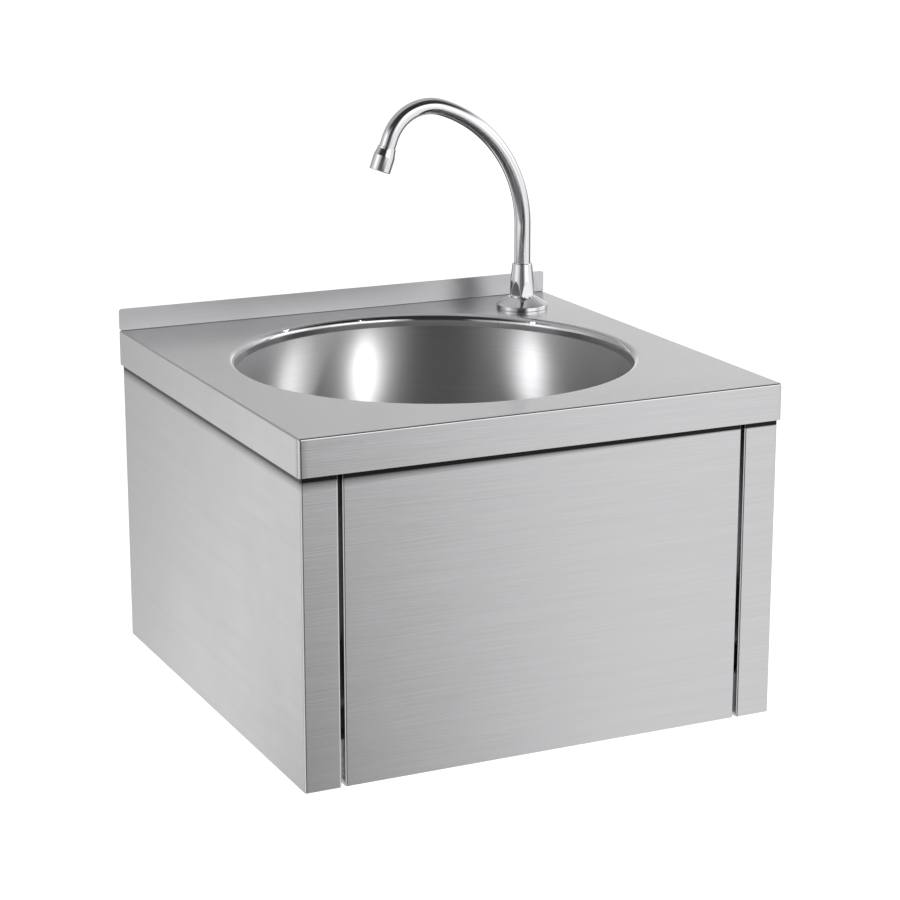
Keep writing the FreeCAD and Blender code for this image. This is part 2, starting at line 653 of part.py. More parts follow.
def make_valve_rail():
    """A channel from side to side; its web carries the valve and its end tabs meet the side panels."""
    body = new_body("valve_rail")
    front = f"({RAIL_BACK} - rail_thickness)"
    low, high = f"({VALVE_Z} - rail_height / 2)", f"({VALVE_Z} + rail_height / 2)"
    section = sketch_on(body, "YZ_Plane")
    outline(section, [
        (front, low),
        (f"({front} + rail_fold)", low),
        (f"({front} + rail_fold)", f"({low} + rail_thickness)"),
        (RAIL_BACK, f"({low} + rail_thickness)"),
        (RAIL_BACK, f"({high} - rail_thickness)"),
        (f"({front} + rail_fold)", f"({high} - rail_thickness)"),
        (f"({front} + rail_fold)", high),
        (front, high),
    ])
    inner = f"({CASING_HALF} - sheet_thickness)"
    step = feature(body, "Pad", section, f"2 * {inner}", Midplane=True)
    web_front = value(front)
    bends = edges_where(step, lambda e: runs_across(e, web_front))
    rounded(body, bends, "rail_thickness")
    for side in (-1, 1):
        tab = sketch_on(body, "XY_Plane", low)
        outline(tab, [
            (f"({side} * {inner})", front),
            (f"({side} * ({inner} - rail_thickness))", front),
            (f"({side} * ({inner} - rail_thickness))", f"({front} + rail_fold)"),
            (f"({side} * {inner})", f"({front} + rail_fold)"),
        ])
        feature(body, "Pad", tab, "rail_height")
    web = sketch_on(body, "XZ_Plane", f"-{RAIL_BACK}")
    hole = circle(web, "0", VALVE_Z, "(neck_radius + running_gap)")
    feature(body, "Pocket", hole, "3 * rail_thickness", reverse=True)
    keep(body, "valve_rail")


# ---------------------------------------------------------------- knee panel and its hinge

def make_knee_panel():
    """The panel that the knee pushes: a tray with folded edges, pivot ears and two stop tabs."""
    body = new_body("knee_panel")

    def back(inwards):
        return f"(-{FRONT} + {inwards})"

    inner = f"({PANEL_HALF} - sheet_thickness)"
    tab_back = f"({TAB_FRONT} + sheet_thickness)"
    section = sketch_on(body, "XY_Plane", CASING_BOTTOM)
    outline(section, [
        (f"-{PANEL_HALF}", back("0")),
        (PANEL_HALF, back("0")),
        (PANEL_HALF, tab_back),
        (inner, tab_back),
        (inner, back("sheet_thickness")),
        (f"-{inner}", back("sheet_thickness")),
        (f"-{inner}", tab_back),
        (f"-{PANEL_HALF}", tab_back),
    ])
    step = feature(body, "Pad", section, f"({PANEL_TOP} - {CASING_BOTTOM})")
    front, half = -value(FRONT), value(PANEL_HALF)
    wall = value("sheet_thickness")

    def at(edge, x, y):
        spot = edge.CenterOfMass
        return is_upright(edge) and abs(abs(spot.x) - x) < NEAR and abs(spot.y - y) < NEAR

    step = rounded(body, edges_where(step, lambda e: at(e, half, front)), "bend_radius")
    inside = edges_where(step, lambda e: at(e, half - wall, front + wall))
    rounded(body, inside, "(bend_radius - sheet_thickness)")
    for level, depth in ((CASING_BOTTOM, "panel_fold"), (f"({PANEL_TOP} - sheet_thickness)", "top_fold")):
        fold = sketch_on(body, "XY_Plane", level)
        rectangle(fold, f"-{PANEL_HALF} + bend_radius", back("(sheet_thickness / 2)"),
                  f"{PANEL_HALF} - bend_radius", back(depth))
        feature(body, "Pad", fold, "sheet_thickness")
    low = value(CASING_BOTTOM)
    names = edges_where(body.Tip, lambda e: runs_across(e, front) and e.BoundBox.ZMin < low + NEAR)
    rounded(body, names, "(sheet_thickness / 2)")
    for side in (-1, 1):
        tab = sketch_on(body, "XY_Plane", f"({CASING_BOTTOM} + tab_rise)")
        outline(tab, [
            (f"({side} * {inner})", TAB_FRONT),
            (f"({side} * ({PANEL_HALF} + tab_reach))", TAB_FRONT),
            (f"({side} * ({PANEL_HALF} + tab_reach))", tab_back),
            (f"({side} * {inner})", tab_back),
        ])
        feature(body, "Pad", tab, "tab_height")
    ears = sketch_on(body, "YZ_Plane")
    circle(ears, PIVOT_Y, PIVOT_Z, "(pin_radius + bush_wall + 2 * running_gap)")
    feature(body, "Pocket", ears, Type="ThroughAll", Midplane=True)
    keep(body, "knee_panel")


def make_hinge():
    """Headed pins fixed in the casing, flanged bushes in the panel and a clip on each pin."""
    bush_bore = "(pin_radius + running_gap)"
    bush_outer = "(pin_radius + bush_wall + running_gap)"
    clips = []
    for side, word, inwards in ((-1, "left", "X"), (1, "right", "-X")):
        where = {"y": PIVOT_Y, "z": PIVOT_Z, "direction": inwards}
        head = f"({side} * ({FLANGE_EDGE} + sheet_thickness + pin_head_height))"
        reach = "(pin_head_height + sheet_thickness + bush_length + 2 * fit_gap + 3 * clip_height)"
        keep(turned("pivot_pin_" + word, [
            ("0", "0"),
            ("pin_head_radius", "0"),
            ("pin_head_radius", "pin_head_height"),
            ("pin_radius", "pin_head_height"),
            ("pin_radius", reach),
            ("0", reach),
        ], x=head, **where), "pivot_pin_" + word)
        seat = f"({side} * ({FLANGE_EDGE} - fit_gap))"
        keep(turned("pivot_bush_" + word, [
            (bush_bore, "0"),
            (f"({bush_outer} + bush_flange)", "0"),
            (f"({bush_outer} + bush_flange)", "(panel_gap - fit_gap)"),
            (bush_outer, "(panel_gap - fit_gap)"),
            (bush_outer, "bush_length"),
            (bush_bore, "bush_length"),
        ], x=seat, **where), "pivot_bush_" + word)
        clips.append(turned("pivot_clip_" + word, [
            ("(pin_radius + running_gap / 2)", "0"),
            ("(pin_radius + clip_reach)", "0"),
            ("(pin_radius + clip_reach)", "clip_height"),
            ("(pin_radius + running_gap / 2)", "clip_height"),
        ], x=f"({side} * ({FLANGE_EDGE} - 2 * fit_gap - bush_length))", **where))
    group("pivot_clips", clips)


def make_buffers():
    """Rubber: a stop on each tab of the panel, and the pad that meets the valve's button."""
    stops = []
    for side in (-1, 1):
        stop = new_body("stop_buffer")
        pad = sketch_on(stop, "XY_Plane", f"({CASING_BOTTOM} + tab_rise + sheet_thickness)")
        outline(pad, [
            (f"({side} * {FLANGE_EDGE})", TAB_FRONT),
            (f"({side} * ({PANEL_HALF} + tab_reach))", TAB_FRONT),
            (f"({side} * ({PANEL_HALF} + tab_reach))", f"({TAB_FRONT} - buffer_height)"),
            (f"({side} * {FLANGE_EDGE})", f"({TAB_FRONT} - buffer_height)"),
        ])
        feature(stop, "Pad", pad, "(tab_height - 2 * sheet_thickness)")
        stops.append(stop)
    group("stop_buffers", stops)
    keep(turned("striker_pad", [
        ("0", "0"),
        ("striker_radius", "0"),
        ("striker_radius", "(striker_height - sheet_thickness)"),
        ("(striker_radius - sheet_thickness)", "striker_height"),
        ("0", "striker_height"),
    ], y=f"(-{FRONT} + sheet_thickness)", z=VALVE_Z, direction="Y"), "striker_pad")


# ---------------------------------------------------------------- knee valve and mixer

def make_valve():
    """Barrel behind the rail, neck and lock nut through it, cap, and button with a crowned head."""
    at_valve = {"y": RAIL_BACK, "z": VALVE_Z, "direction": "Y"}
    body = new_body("valve_body")
    guide = "(stem_radius + running_gap)"
    profile = outline(sketch_on(body, "XZ_Plane"), [
        (guide, "-neck_length"),
        ("neck_radius", "-neck_length"),
        ("neck_radius", "0"),
        ("barrel_radius", "0"),
        ("barrel_radius", "barrel_length"),
        ("chamber_radius", "barrel_length"),
        ("chamber_radius", "guide_length"),
        (guide, "guide_length"),
    ])
    feature(body, "Revolution", profile, ReferenceAxis=(profile, ["V_Axis"]))
    nipple = sketch_on(body, "YZ_Plane", "(chamber_radius + sheet_thickness)")
    circle(nipple, "0", "outlet_back", "outlet_radius")
    feature(body, "Pad", nipple, "(outlet_reach - chamber_radius - sheet_thickness)")
    neck = sketch_on(body, "XZ_Plane", "-(chamber_radius + sheet_thickness)")
    circle(neck, "0", "outlet_back", "mixer_neck")
    neck_reach = "(mixer_drop - mixer_radius - chamber_radius - sheet_thickness)"
    feature(body, "Pad", neck, neck_reach, reverse=True)
    port = circle(sketch_on(body, "YZ_Plane"), "0", "outlet_back", "port_bore")
    feature(body, "Pocket", port, "(outlet_reach + sheet_thickness)", reverse=True)
    port = circle(sketch_on(body, "XZ_Plane"), "0", "outlet_back", "port_bore")
    feature(body, "Pocket", port, "mixer_drop")
    keep(place(body, **at_valve), "valve_body")

    keep(turned("valve_cap", [
        ("0", "-sheet_thickness"),
        ("(chamber_radius - fit_gap)", "-sheet_thickness"),
        ("(chamber_radius - fit_gap)", "0"),
        ("barrel_radius", "0"),
        ("barrel_radius", "4 * sheet_thickness"),
        ("(chamber_radius - sheet_thickness)", "5 * sheet_thickness"),
        ("(chamber_radius - sheet_thickness)", "gland_height"),
        ("0", "gland_height"),
    ], y=f"({RAIL_BACK} + barrel_length)", z=VALVE_Z, direction="Y"), "valve_cap")
    keep(hex_nut("valve_lock_nut", "(neck_radius + valve_nut_wall)", "valve_nut_height",
                 "(neck_radius + running_gap)",
                 y=f"({RAIL_BACK} - rail_thickness - valve_nut_height)", z=VALVE_Z, direction="Y"),
         "valve_lock_nut")

    crown = new_body("valve_button")
    ahead, behind = f"-{BUTTON_AHEAD}", f"-{BUTTON_BACK}"
    profile = outline(sketch_on(crown, "XZ_Plane"), [
        ("0", ahead),
        ("(button_radius * 0.35)", ahead, "button_crown"),
        ("button_radius", f"({ahead} + button_dome)"),
        ("button_radius", behind),
        ("stem_radius", behind),
        ("stem_radius", "stem_inside"),
        ("0", "stem_inside"),
    ])
    feature(crown, "Revolution", profile, ReferenceAxis=(profile, ["V_Axis"]))
    keep(place(crown, **at_valve), "valve_button")


def make_spring():
    """The valve's return spring, between the neck and the button's head, in quarter-turn arcs."""
    wire_radius = value("spring_wire") / 2
    coil = value("stem_radius") + 2 * value("fit_gap") + wire_radius
    first = value(f"-{BUTTON_BACK} + fit_gap") + wire_radius
    last = value("-neck_length - fit_gap") - wire_radius
    turns = value("spring_turns")
    steps = int(round(4 * turns))

    def on_helix(fraction):
        angle = 2 * math.pi * turns * fraction
        return Vector(coil * math.cos(angle), coil * math.sin(angle), first + (last - first) * fraction)

    arcs = []
    for i in range(steps):
        spots = [on_helix((i + part) / steps) for part in (0.0, 0.5, 1.0)]
        arcs.append(Part.Arc(*spots).toShape())
    route = Part.Wire(arcs)
    pitch = (last - first) / turns
    print(f"valve_spring: gap between turns {pitch - 2 * wire_radius:.2f}")
    start = on_helix(0.0)
    heading = Vector(0, 2 * math.pi * coil * turns, last - first)
    section = Part.Wire(Part.Circle(start, heading, wire_radius).toShape())
    spring = doc.addObject("Part::Feature", "valve_spring")
    spring.Shape = route.makePipeShell([section], True, False)
    place(spring, y=RAIL_BACK, z=VALVE_Z, direction="Y")
    keep(spring, "valve_spring")


def make_mixer():
    """A bar under the valve with hot and cold inlets, check valves and a temperature knob."""
    at_mixer = {"y": PORT_Y, "z": MIXER_Z, "direction": "X"}
    body = new_body("mixer_body")
    profile = outline(sketch_on(body, "XZ_Plane"), [
        ("mixer_bore", "-mixer_half"),
        ("mixer_radius", "-mixer_half"),
        ("mixer_radius", "mixer_half"),
        ("mixer_bore", "mixer_half"),
    ])
    feature(body, "Revolution", profile, ReferenceAxis=(profile, ["V_Axis"]))
    inlets = ("(-inlet_spacing / 2)", "(inlet_spacing / 2)")
    bar_wall = "(mixer_bore + sheet_thickness)"
    steps = (("inlet_collar", "(inlet_reach - inlet_thread)"), ("inlet_radius", "inlet_reach"))
    for radius, reach in steps:
        stubs = sketch_on(body, "XZ_Plane", f"-{bar_wall}")
        for inlet in inlets:
            circle(stubs, "0", inlet, radius)
        feature(body, "Pad", stubs, f"({reach} - {bar_wall})", reverse=True)
    bores = sketch_on(body, "XZ_Plane")
    for inlet in inlets:
        circle(bores, "0", inlet, "inlet_bore")
    feature(body, "Pocket", bores, "(inlet_reach + sheet_thickness)")
    port = circle(sketch_on(body, "YZ_Plane"), "0", "0", "port_bore")
    feature(body, "Pocket", port, "(mixer_radius + sheet_thickness)")
    keep(place(body, **at_mixer), "mixer_body")

    keep(hex_nut("mixer_plug", "(mixer_radius - sheet_thickness)", "gland_height", "",
                 x="mixer_half", **at_mixer), "mixer_plug")
    outwards = {"y": PORT_Y, "z": MIXER_Z, "direction": "-X"}
    keep(hex_nut("mixer_gland", "(mixer_radius - sheet_thickness)", "gland_height",
                 "(spindle_radius + running_gap)", x="-mixer_half", **outwards), "mixer_gland")
    keep(turned("mixer_spindle", [
        ("0", "-gland_height"),
        ("(mixer_bore - fit_gap)", "-gland_height"),
        ("(mixer_bore - fit_gap)", "-fit_gap"),
        ("spindle_radius", "-fit_gap"),
        ("spindle_radius", "(spindle_length - gland_height)"),
        ("0", "(spindle_length - gland_height)"),
    ], x="-mixer_half", **outwards), "mixer_spindle")

    knob = new_body("mixer_knob")
    floor = "(knob_height - 2 * sheet_thickness)"
    profile = outline(sketch_on(knob, "XZ_Plane"), [
        ("(spindle_radius + running_gap)", "0"),
        ("(knob_radius - sheet_thickness)", "0"),
        ("knob_radius", "sheet_thickness"),
        ("(knob_radius - sheet_thickness)", "(knob_height - sheet_thickness)"),
        ("(knob_radius - 2 * sheet_thickness)", "knob_height"),
        ("0", "knob_height"),
        ("0", floor),
        ("(spindle_radius + running_gap)", floor),
    ])
    feature(knob, "Revolution", profile, ReferenceAxis=(profile, ["V_Axis"]))
    groove = circle(sketch_on(knob, "XY_Plane", "-sheet_thickness"), "grip_centre", "0", "grip_radius")
    cut = feature(knob, "Pocket", groove, "(knob_height + 2 * sheet_thickness)", reverse=True)
    around(knob, cut, GRIP_GROOVE_COUNT)
    keep(place(knob, x="(-mixer_half - gland_height - fit_gap)", **outwards), "mixer_knob")

    cartridges = []
    seat = f"({PORT_Y} + inlet_reach - check_length - sheet_thickness)"
    for inlet in inlets:
        cartridges.append(turned("check_valve", [
            ("(inlet_bore / 2)", "0"),
            ("(inlet_bore - running_gap)", "0"),
            ("(inlet_bore - running_gap)", "check_length"),
            ("(inlet_bore - 2 * sheet_thickness)", "check_length"),
            ("(inlet_bore / 2)", "(check_length / 2)"),
        ], x=inlet, y=seat, z=MIXER_Z, direction="Y"))
    group("check_valves", cartridges)


def make_hose():
    """Braided hose from the valve's outlet to the tap's shank, with crimped ends and union nuts."""
    across, up = Vector(1, 0, 0), Vector(0, 0, 1)
    bend = value("hose_bend")
    fit = value("fit_gap")
    start = Vector(value("outlet_reach") + fit + value("ferrule_length"), value(PORT_Y), value(VALVE_Z))
    end_z = value("deck_height - shank_drop - ferrule_length - fit_gap")
    end = Vector(value(TAP_X), -value("tap_back"), end_z)
    moves = [
        end.x - start.x - bend,
        (bend, 90, up),
        end.y - start.y - 2 * bend,
        (bend, 90, across),
        end.z - start.z - bend,
    ]
    route, _, _ = path_of(start, across, moves)
    outer, inner = value("hose_radius"), value("hose_radius - hose_wall")
    hose = doc.addObject("Part::Feature", "outlet_hose")
    hose.Shape = tube_along(route, start, across, outer).cut(tube_along(route, start, across, inner))
    report_tube("outlet_hose", hose.Shape, route, outer, inner)
    keep(hose, "outlet_hose")

    ends = (
        ("outlet_reach", PORT_Y, VALVE_Z, "X", "outlet_radius"),
        (TAP_X, "-tap_back", "(deck_height - shank_drop)", "-Z", "shank_radius"),
    )
    ferrules, nuts = [], []
    for x, y, z, direction, thread in ends:
        sign = 1 if direction == "X" else -1
        beyond = {"x": x, "y": y, "z": z, "direction": direction}
        ferrules.append(turned("hose_ferrule", [
            ("(hose_radius - hose_wall)", "fit_gap"),
            (f"({thread} - sheet_thickness)", "fit_gap"),
            (f"({thread} - sheet_thickness)", "2 * sheet_thickness"),
            ("ferrule_radius", "3 * sheet_thickness"),
            ("ferrule_radius", "(ferrule_length + fit_gap + 4 * sheet_thickness)"),
            ("(hose_radius + running_gap)", "(ferrule_length + fit_gap + 4 * sheet_thickness)"),
            ("(hose_radius + running_gap)", "(ferrule_length + fit_gap)"),
            ("(hose_radius - hose_wall)", "(ferrule_length + fit_gap)"),
        ], **beyond))
        if sign > 0:
            beyond["x"] = f"({x} - hose_nut_height + 4 * sheet_thickness)"
        else:
            beyond["z"] = f"({z} + hose_nut_height - 4 * sheet_thickness)"
        nut = hex_nut("hose_nut", f"({thread} + nut_wall)", "hose_nut_height",
                      f"({thread} + running_gap)", **beyond)
        nuts.append(nut)
    group("hose_ferrules", ferrules)
    group("hose_nuts", nuts)


# ---------------------------------------------------------------- tap

def make_tap_base():
    """What holds the swan neck: shank through the deck, its gasket, washer and nut, plate and collar."""
    at_tap = {"x": TAP_X, "y": "-tap_back"}
    socket = "(tube_radius + running_gap)"
    seal_middle = f"({socket} + oring_wire + running_gap)"
    groove = f"({seal_middle} + oring_wire + running_gap)"
    flange_low = "tap_gasket_height"
    flange_high = "(tap_gasket_height + flange_height)"
    seal_levels = ("(-tube_seat / 4)", "(-tube_seat / 4 - oring_pitch)")
    grooves = []
    for level in seal_levels:
        top = f"({level} + oring_wire + running_gap)"
        bottom = f"({level} - oring_wire - running_gap)"
        grooves += [(socket, top), (groove, top), (groove, bottom), (socket, bottom)]
    keep(turned("tap_shank", [
        ("shank_bore", "-shank_drop"),
        ("shank_radius", "-shank_drop"),
        ("shank_radius", flange_low),
        ("shank_flange", flange_low),
        ("shank_flange", flange_high),
        ("boss_radius", flange_high),
        ("boss_radius", "boss_height"),
        (socket, "boss_height"),
    ] + grooves + [
        (socket, "-(tube_seat + sheet_thickness)"),
        ("shank_bore", "-(tube_seat + sheet_thickness)"),
    ], z="deck_height", **at_tap), "tap_shank")
    seals = []
    for level in seal_levels:
        ring = doc.addObject("Part::Torus", "spout_seal")
        ring.Radius1, ring.Radius2 = value(seal_middle), value("oring_wire")
        bind(ring, "Radius1", seal_middle)
        bind(ring, "Radius2", "oring_wire")
        seals.append(place(ring, z=f"(deck_height + {level})", **at_tap))
    group("spout_orings", seals)
    keep(turned("tap_gasket", [
        ("(shank_radius + fit_gap)", "0"),
        ("(shank_flange + sheet_thickness)", "0"),
        ("(shank_flange + sheet_thickness)", "tap_gasket_height"),
        ("(shank_radius + fit_gap)", "tap_gasket_height"),
    ], z="deck_height", **at_tap), "tap_gasket")
    keep(turned("tap_washer", [
        ("(shank_radius + running_gap)", "0"),
        ("(shank_flange + 2 * sheet_thickness)", "0"),
        ("(shank_flange + 2 * sheet_thickness)", "washer_height"),
        ("(shank_radius + running_gap)", "washer_height"),
    ], z=UNDER_DECK, direction="-Z", **at_tap), "tap_washer")
    keep(hex_nut("tap_lock_nut", "(shank_radius + nut_wall)", "lock_nut_height",
                 "(shank_radius + running_gap)", z=f"({UNDER_DECK} - washer_height)", direction="-Z",
                 **at_tap), "tap_lock_nut")

    hole = "(boss_radius + fit_gap)"
    keep(turned("escutcheon", [
        ("(escutcheon_radius - escutcheon_wall)", "0"),
        ("escutcheon_radius", "0"),
        ("escutcheon_radius", "escutcheon_rim"),
        ("escutcheon_top", "escutcheon_height"),
        (hole, "escutcheon_height"),
        (hole, "(escutcheon_height - escutcheon_wall)"),
        ("(escutcheon_top - escutcheon_wall / 2)", "(escutcheon_height - escutcheon_wall)"),
        ("(escutcheon_radius - escutcheon_wall)", "(escutcheon_rim - escutcheon_wall / 2)"),
    ], z="deck_height", **at_tap), "escutcheon")

    collar = new_body("tap_collar")
    shoulder = "(boss_height + 2 * sheet_thickness + 2 * fit_gap - escutcheon_height)"
    profile = outline(sketch_on(collar, "XZ_Plane"), [
        (hole, "0"),
        ("(collar_foot - collar_chamfer)", "0"),
        ("collar_foot", "collar_chamfer"),
        ("collar_top", "(collar_height - sheet_thickness / 2)"),
        ("(collar_top - sheet_thickness / 2)", "collar_height"),
        ("(tube_radius + fit_gap)", "collar_height"),
        ("(tube_radius + fit_gap)", shoulder),
        (hole, shoulder),
    ])
    feature(collar, "Revolution", profile, ReferenceAxis=(profile, ["V_Axis"]))
    flat = sketch_on(collar, "XY_Plane")
    rectangle(flat, "-collar_foot", "collar_flat", "collar_foot", "(collar_foot + sheet_thickness)")
    cut = feature(collar, "Pocket", flat, "collar_height", reverse=True)
    around(collar, cut, COLLAR_FLAT_COUNT)
    keep(place(collar, z="(deck_height + escutcheon_height)", **at_tap), "tap_collar")


def make_spout():
    """The swan neck: straight up, a wide rising bend, a tight falling bend, and the nozzle."""
    foot = Vector(value(TAP_X), -value("tap_back"), value("deck_height - tube_seat"))
    turn_axis = Vector(0, -1, 0)
    up = Vector(0, 0, 1)
    wide, total = value("angle_wide"), value("angle_total")
    last_run = value("nozzle_run - nozzle_cover + tube_in_nozzle")
    route, _, _ = path_of(foot, up, [
        value("tube_rise + tube_seat"),
        (value("bend_wide"), wide, turn_axis),
        (value("bend_tight"), total - wide, turn_axis),
        last_run,
    ])
    outer, inner = value("tube_radius"), value("tube_radius - tube_wall")
    tube = tube_along(route, foot, up, outer).cut(tube_along(route, foot, up, inner))
    report_tube("spout", tube, route, outer, inner)
    ring_level = value("deck_height + boss_height + fit_gap")
    ring_height = 2 * value("sheet_thickness")
    ring_base = Vector(foot.x, foot.y, ring_level)
    ring = Part.makeCylinder(value("boss_radius"), ring_height, ring_base)
    ring = ring.cut(Part.makeCylinder((outer + inner) / 2, ring_height, ring_base))
    spout = doc.addObject("Part::Feature", "spout")
    spout.Shape = tube.fuse(ring).removeSplitter()
    keep(spout, "spout")

    sweep_x = ("(bend_wide * (1 - cos(angle_wide)) + bend_tight * (cos(angle_wide) - cos(angle_total))"
               " + nozzle_run * sin(angle_total))")
    sweep_z = ("(tube_rise + bend_wide * sin(angle_wide)"
               " + bend_tight * (sin(angle_total) - sin(angle_wide)) + nozzle_run * cos(angle_total))")
    inside = "(nozzle_radius - nozzle_wall)"
    housing = [
        ("nozzle_mouth", "0"),
        ("(nozzle_radius - sheet_thickness / 2)", "0"),
        ("nozzle_radius", "(sheet_thickness / 2)"),
        ("nozzle_radius", "(nozzle_cover / 2)"),
        ("nozzle_neck", "(nozzle_cover / 2 + nozzle_taper)"),
        ("nozzle_neck", "(nozzle_cover - sheet_thickness / 2)"),
        ("(nozzle_neck - sheet_thickness / 4)", "nozzle_cover"),
        ("(tube_radius + running_gap)", "nozzle_cover"),
        ("(tube_radius + running_gap)", "(nozzle_cover - tube_in_nozzle)"),
        (inside, "(nozzle_cover - tube_in_nozzle - sheet_thickness)"),
        (inside, "sheet_thickness"),
        ("nozzle_mouth", "sheet_thickness"),
    ]
    insert_top = "(nozzle_cover - tube_in_nozzle - 3 * sheet_thickness)"
    insert = [
        ("0", "(sheet_thickness + fit_gap)"),
        (f"({inside} - fit_gap)", "(sheet_thickness + fit_gap)"),
        (f"({inside} - fit_gap)", insert_top),
        (f"({inside} - 2 * sheet_thickness)", insert_top),
        (f"({inside} - 2 * sheet_thickness)", "(4 * sheet_thickness)"),
        ("0", "(4 * sheet_thickness)"),
    ]
    washer = [
        ("washer_bore", insert_top),
        (f"({inside} - fit_gap)", insert_top),
        (f"({inside} - fit_gap)", f"({insert_top} + 1.5 * sheet_thickness)"),
        ("washer_bore", f"({insert_top} + 1.5 * sheet_thickness)"),
    ]
    for label, profile in (("aerator_housing", housing), ("aerator_insert", insert),
                           ("aerator_washer", washer)):
        piece = turned(label, profile)
        mouth = (f"({TAP_X} - {sweep_x})", "-tap_back", f"(deck_height + {sweep_z})")
        spot = Vector(*[value(expression) for expression in mouth])
        piece.Placement = Placement(spot, Rotation(Vector(0, 1, 0), 180 - value("angle_total")))
        for axis, expression in zip("xyz", mouth):
            bind(piece, f"Placement.Base.{axis}", expression)
        bind(piece, "Placement.Rotation.Angle", "(180 - angle_total)")
        keep(piece, label)


# ---------------------------------------------------------------- waste

def make_waste():
    """Strainer in the bowl's recess, gaskets, and a body with a bridge that takes the screw."""
    at_waste = {"y": BOWL_Y}
    plate_low = f"({RECESS_Z} + gasket_height)"
    plate = new_body("strainer_plate")
    disc = circle(sketch_on(plate, "XY_Plane"), "0", "0", "strainer_radius")
    circle(disc, "0", "0", "(screw_radius + running_gap)")
    feature(plate, "Pad", disc, "strainer_height")
    for radius, count in STRAINER_HOLES:
        first = circle(sketch_on(plate, "XY_Plane"), radius, "0", "strainer_hole")
        cut = feature(plate, "Pocket", first, "2 * strainer_height", reverse=True)
        around(plate, cut, count)
    keep(place(plate, z=plate_low, **at_waste), "strainer_plate")

    bridge_low = "-(bridge_drop + bridge_height)"
    head_low = f"({plate_low} + strainer_height - ({WASTE_TOP}))"
    keep(turned("strainer_screw", [
        ("0", f"({bridge_low} - sheet_thickness)"),
        ("screw_radius", f"({bridge_low} - sheet_thickness)"),
        ("screw_radius", head_low),
        ("screw_head", head_low),
        ("(screw_head - sheet_thickness)", f"({head_low} + 2 * sheet_thickness)"),
        ("0", f"({head_low} + 2 * sheet_thickness)"),
    ], z=WASTE_TOP, **at_waste), "strainer_screw")

    rings = []
    for low in (RECESS_Z, WASTE_TOP):
        rings.append(turned("waste_gasket", [
            ("waste_hole", "0"),
            ("strainer_radius", "0"),
            ("strainer_radius", "gasket_height"),
            ("waste_hole", "gasket_height"),
        ], z=low, **at_waste))
    group("waste_gaskets", rings)

    body = new_body("waste_body")
    profile = outline(sketch_on(body, "XZ_Plane"), [
        ("tail_bore", "-tail_length"),
        ("tail_radius", "-tail_length"),
        ("tail_radius", "-(cup_depth + sheet_thickness)"),
        ("waste_hole", "-3 * sheet_thickness"),
        ("strainer_radius", "-3 * sheet_thickness"),
        ("strainer_radius", "0"),
        ("(waste_hole - sheet_thickness)", "0"),
        ("(waste_hole - sheet_thickness)", "-3 * sheet_thickness"),
        ("tail_bore", "-cup_depth"),
    ])
    feature(body, "Revolution", profile, ReferenceAxis=(profile, ["V_Axis"]))
    bridge = sketch_on(body, "XY_Plane", bridge_low)
    seat = "((tail_bore + tail_radius) / 2)"
    half_width = "(screw_radius + sheet_thickness)"
    rectangle(bridge, f"-{seat}", f"-{half_width}", seat, half_width)
    feature(body, "Pad", bridge, "bridge_height")
    thread = circle(sketch_on(body, "XY_Plane", bridge_low), "0", "0", "(screw_radius + running_gap)")
    feature(body, "Pocket", thread, "bridge_height", reverse=True)
    keep(place(body, z=WASTE_TOP, **at_waste), "waste_body")


# ---------------------------------------------------------------- build and write

make_deck()
make_bowl()
for sign, name in ((-1, "left"), (1, "right")):
    make_side_panel(sign, name)
make_rear_brace()
make_valve_rail()
make_knee_panel()
make_hinge()
make_buffers()
make_valve()
make_spring()
make_mixer()
make_hose()
make_tap_base()
make_spout()
make_waste()

doc.recompute()
for thing in doc.Objects:
    if "Invalid" in thing.State or "Error" in thing.State:
        raise RuntimeError(f"{thing.Label} did not recompute: {thing.State}")
for piece in pieces:
    if piece.Shape.isNull() or not piece.Shape.isValid() or not piece.Shape.Solids:
        raise RuntimeError(f"{piece.Label} has no valid solid")

os.makedirs("parts", exist_ok=True)
for piece in pieces:
    piece.Shape.exportStep(f"parts/{piece.Label}.step")
print(f"{len(pieces)} pieces written")
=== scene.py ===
"""Finish of a wall-hung, knee-operated hand wash sink in stainless steel.

Lengths are in metres, in the sink's own frame: +Z up, +X to the right of a person who faces it, and
the wall is the plane y = 0.
"""
import json
import math

import bmesh
import bpy
import numpy as np
from mathutils import Matrix, Vector


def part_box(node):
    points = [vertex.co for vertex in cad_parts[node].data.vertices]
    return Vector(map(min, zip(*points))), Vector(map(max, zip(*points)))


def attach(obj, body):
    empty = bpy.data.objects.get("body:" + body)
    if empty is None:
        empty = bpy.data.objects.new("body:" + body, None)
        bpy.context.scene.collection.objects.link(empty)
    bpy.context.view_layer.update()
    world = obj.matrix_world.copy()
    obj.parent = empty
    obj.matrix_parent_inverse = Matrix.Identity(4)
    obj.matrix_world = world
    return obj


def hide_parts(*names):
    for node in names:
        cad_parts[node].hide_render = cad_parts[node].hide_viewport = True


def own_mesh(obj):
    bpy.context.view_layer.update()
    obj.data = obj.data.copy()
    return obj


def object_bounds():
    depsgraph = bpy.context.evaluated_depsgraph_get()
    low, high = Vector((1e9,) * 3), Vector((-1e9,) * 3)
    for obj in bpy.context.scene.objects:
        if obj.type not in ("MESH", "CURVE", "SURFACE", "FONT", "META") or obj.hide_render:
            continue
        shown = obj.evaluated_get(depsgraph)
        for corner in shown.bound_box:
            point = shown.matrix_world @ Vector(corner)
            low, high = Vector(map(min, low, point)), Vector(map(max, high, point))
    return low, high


bl_info = {
    "name": "Hand wash sink finish",
    "version": (1, 0, 0),
    "blender": (4, 5, 0),
    "location": "View3D > Sidebar > Sink",
    "description": "Sheet metal, bowl, swan neck and knee valve of a wall-hung hand wash sink",
    "category": "Add Mesh",
}

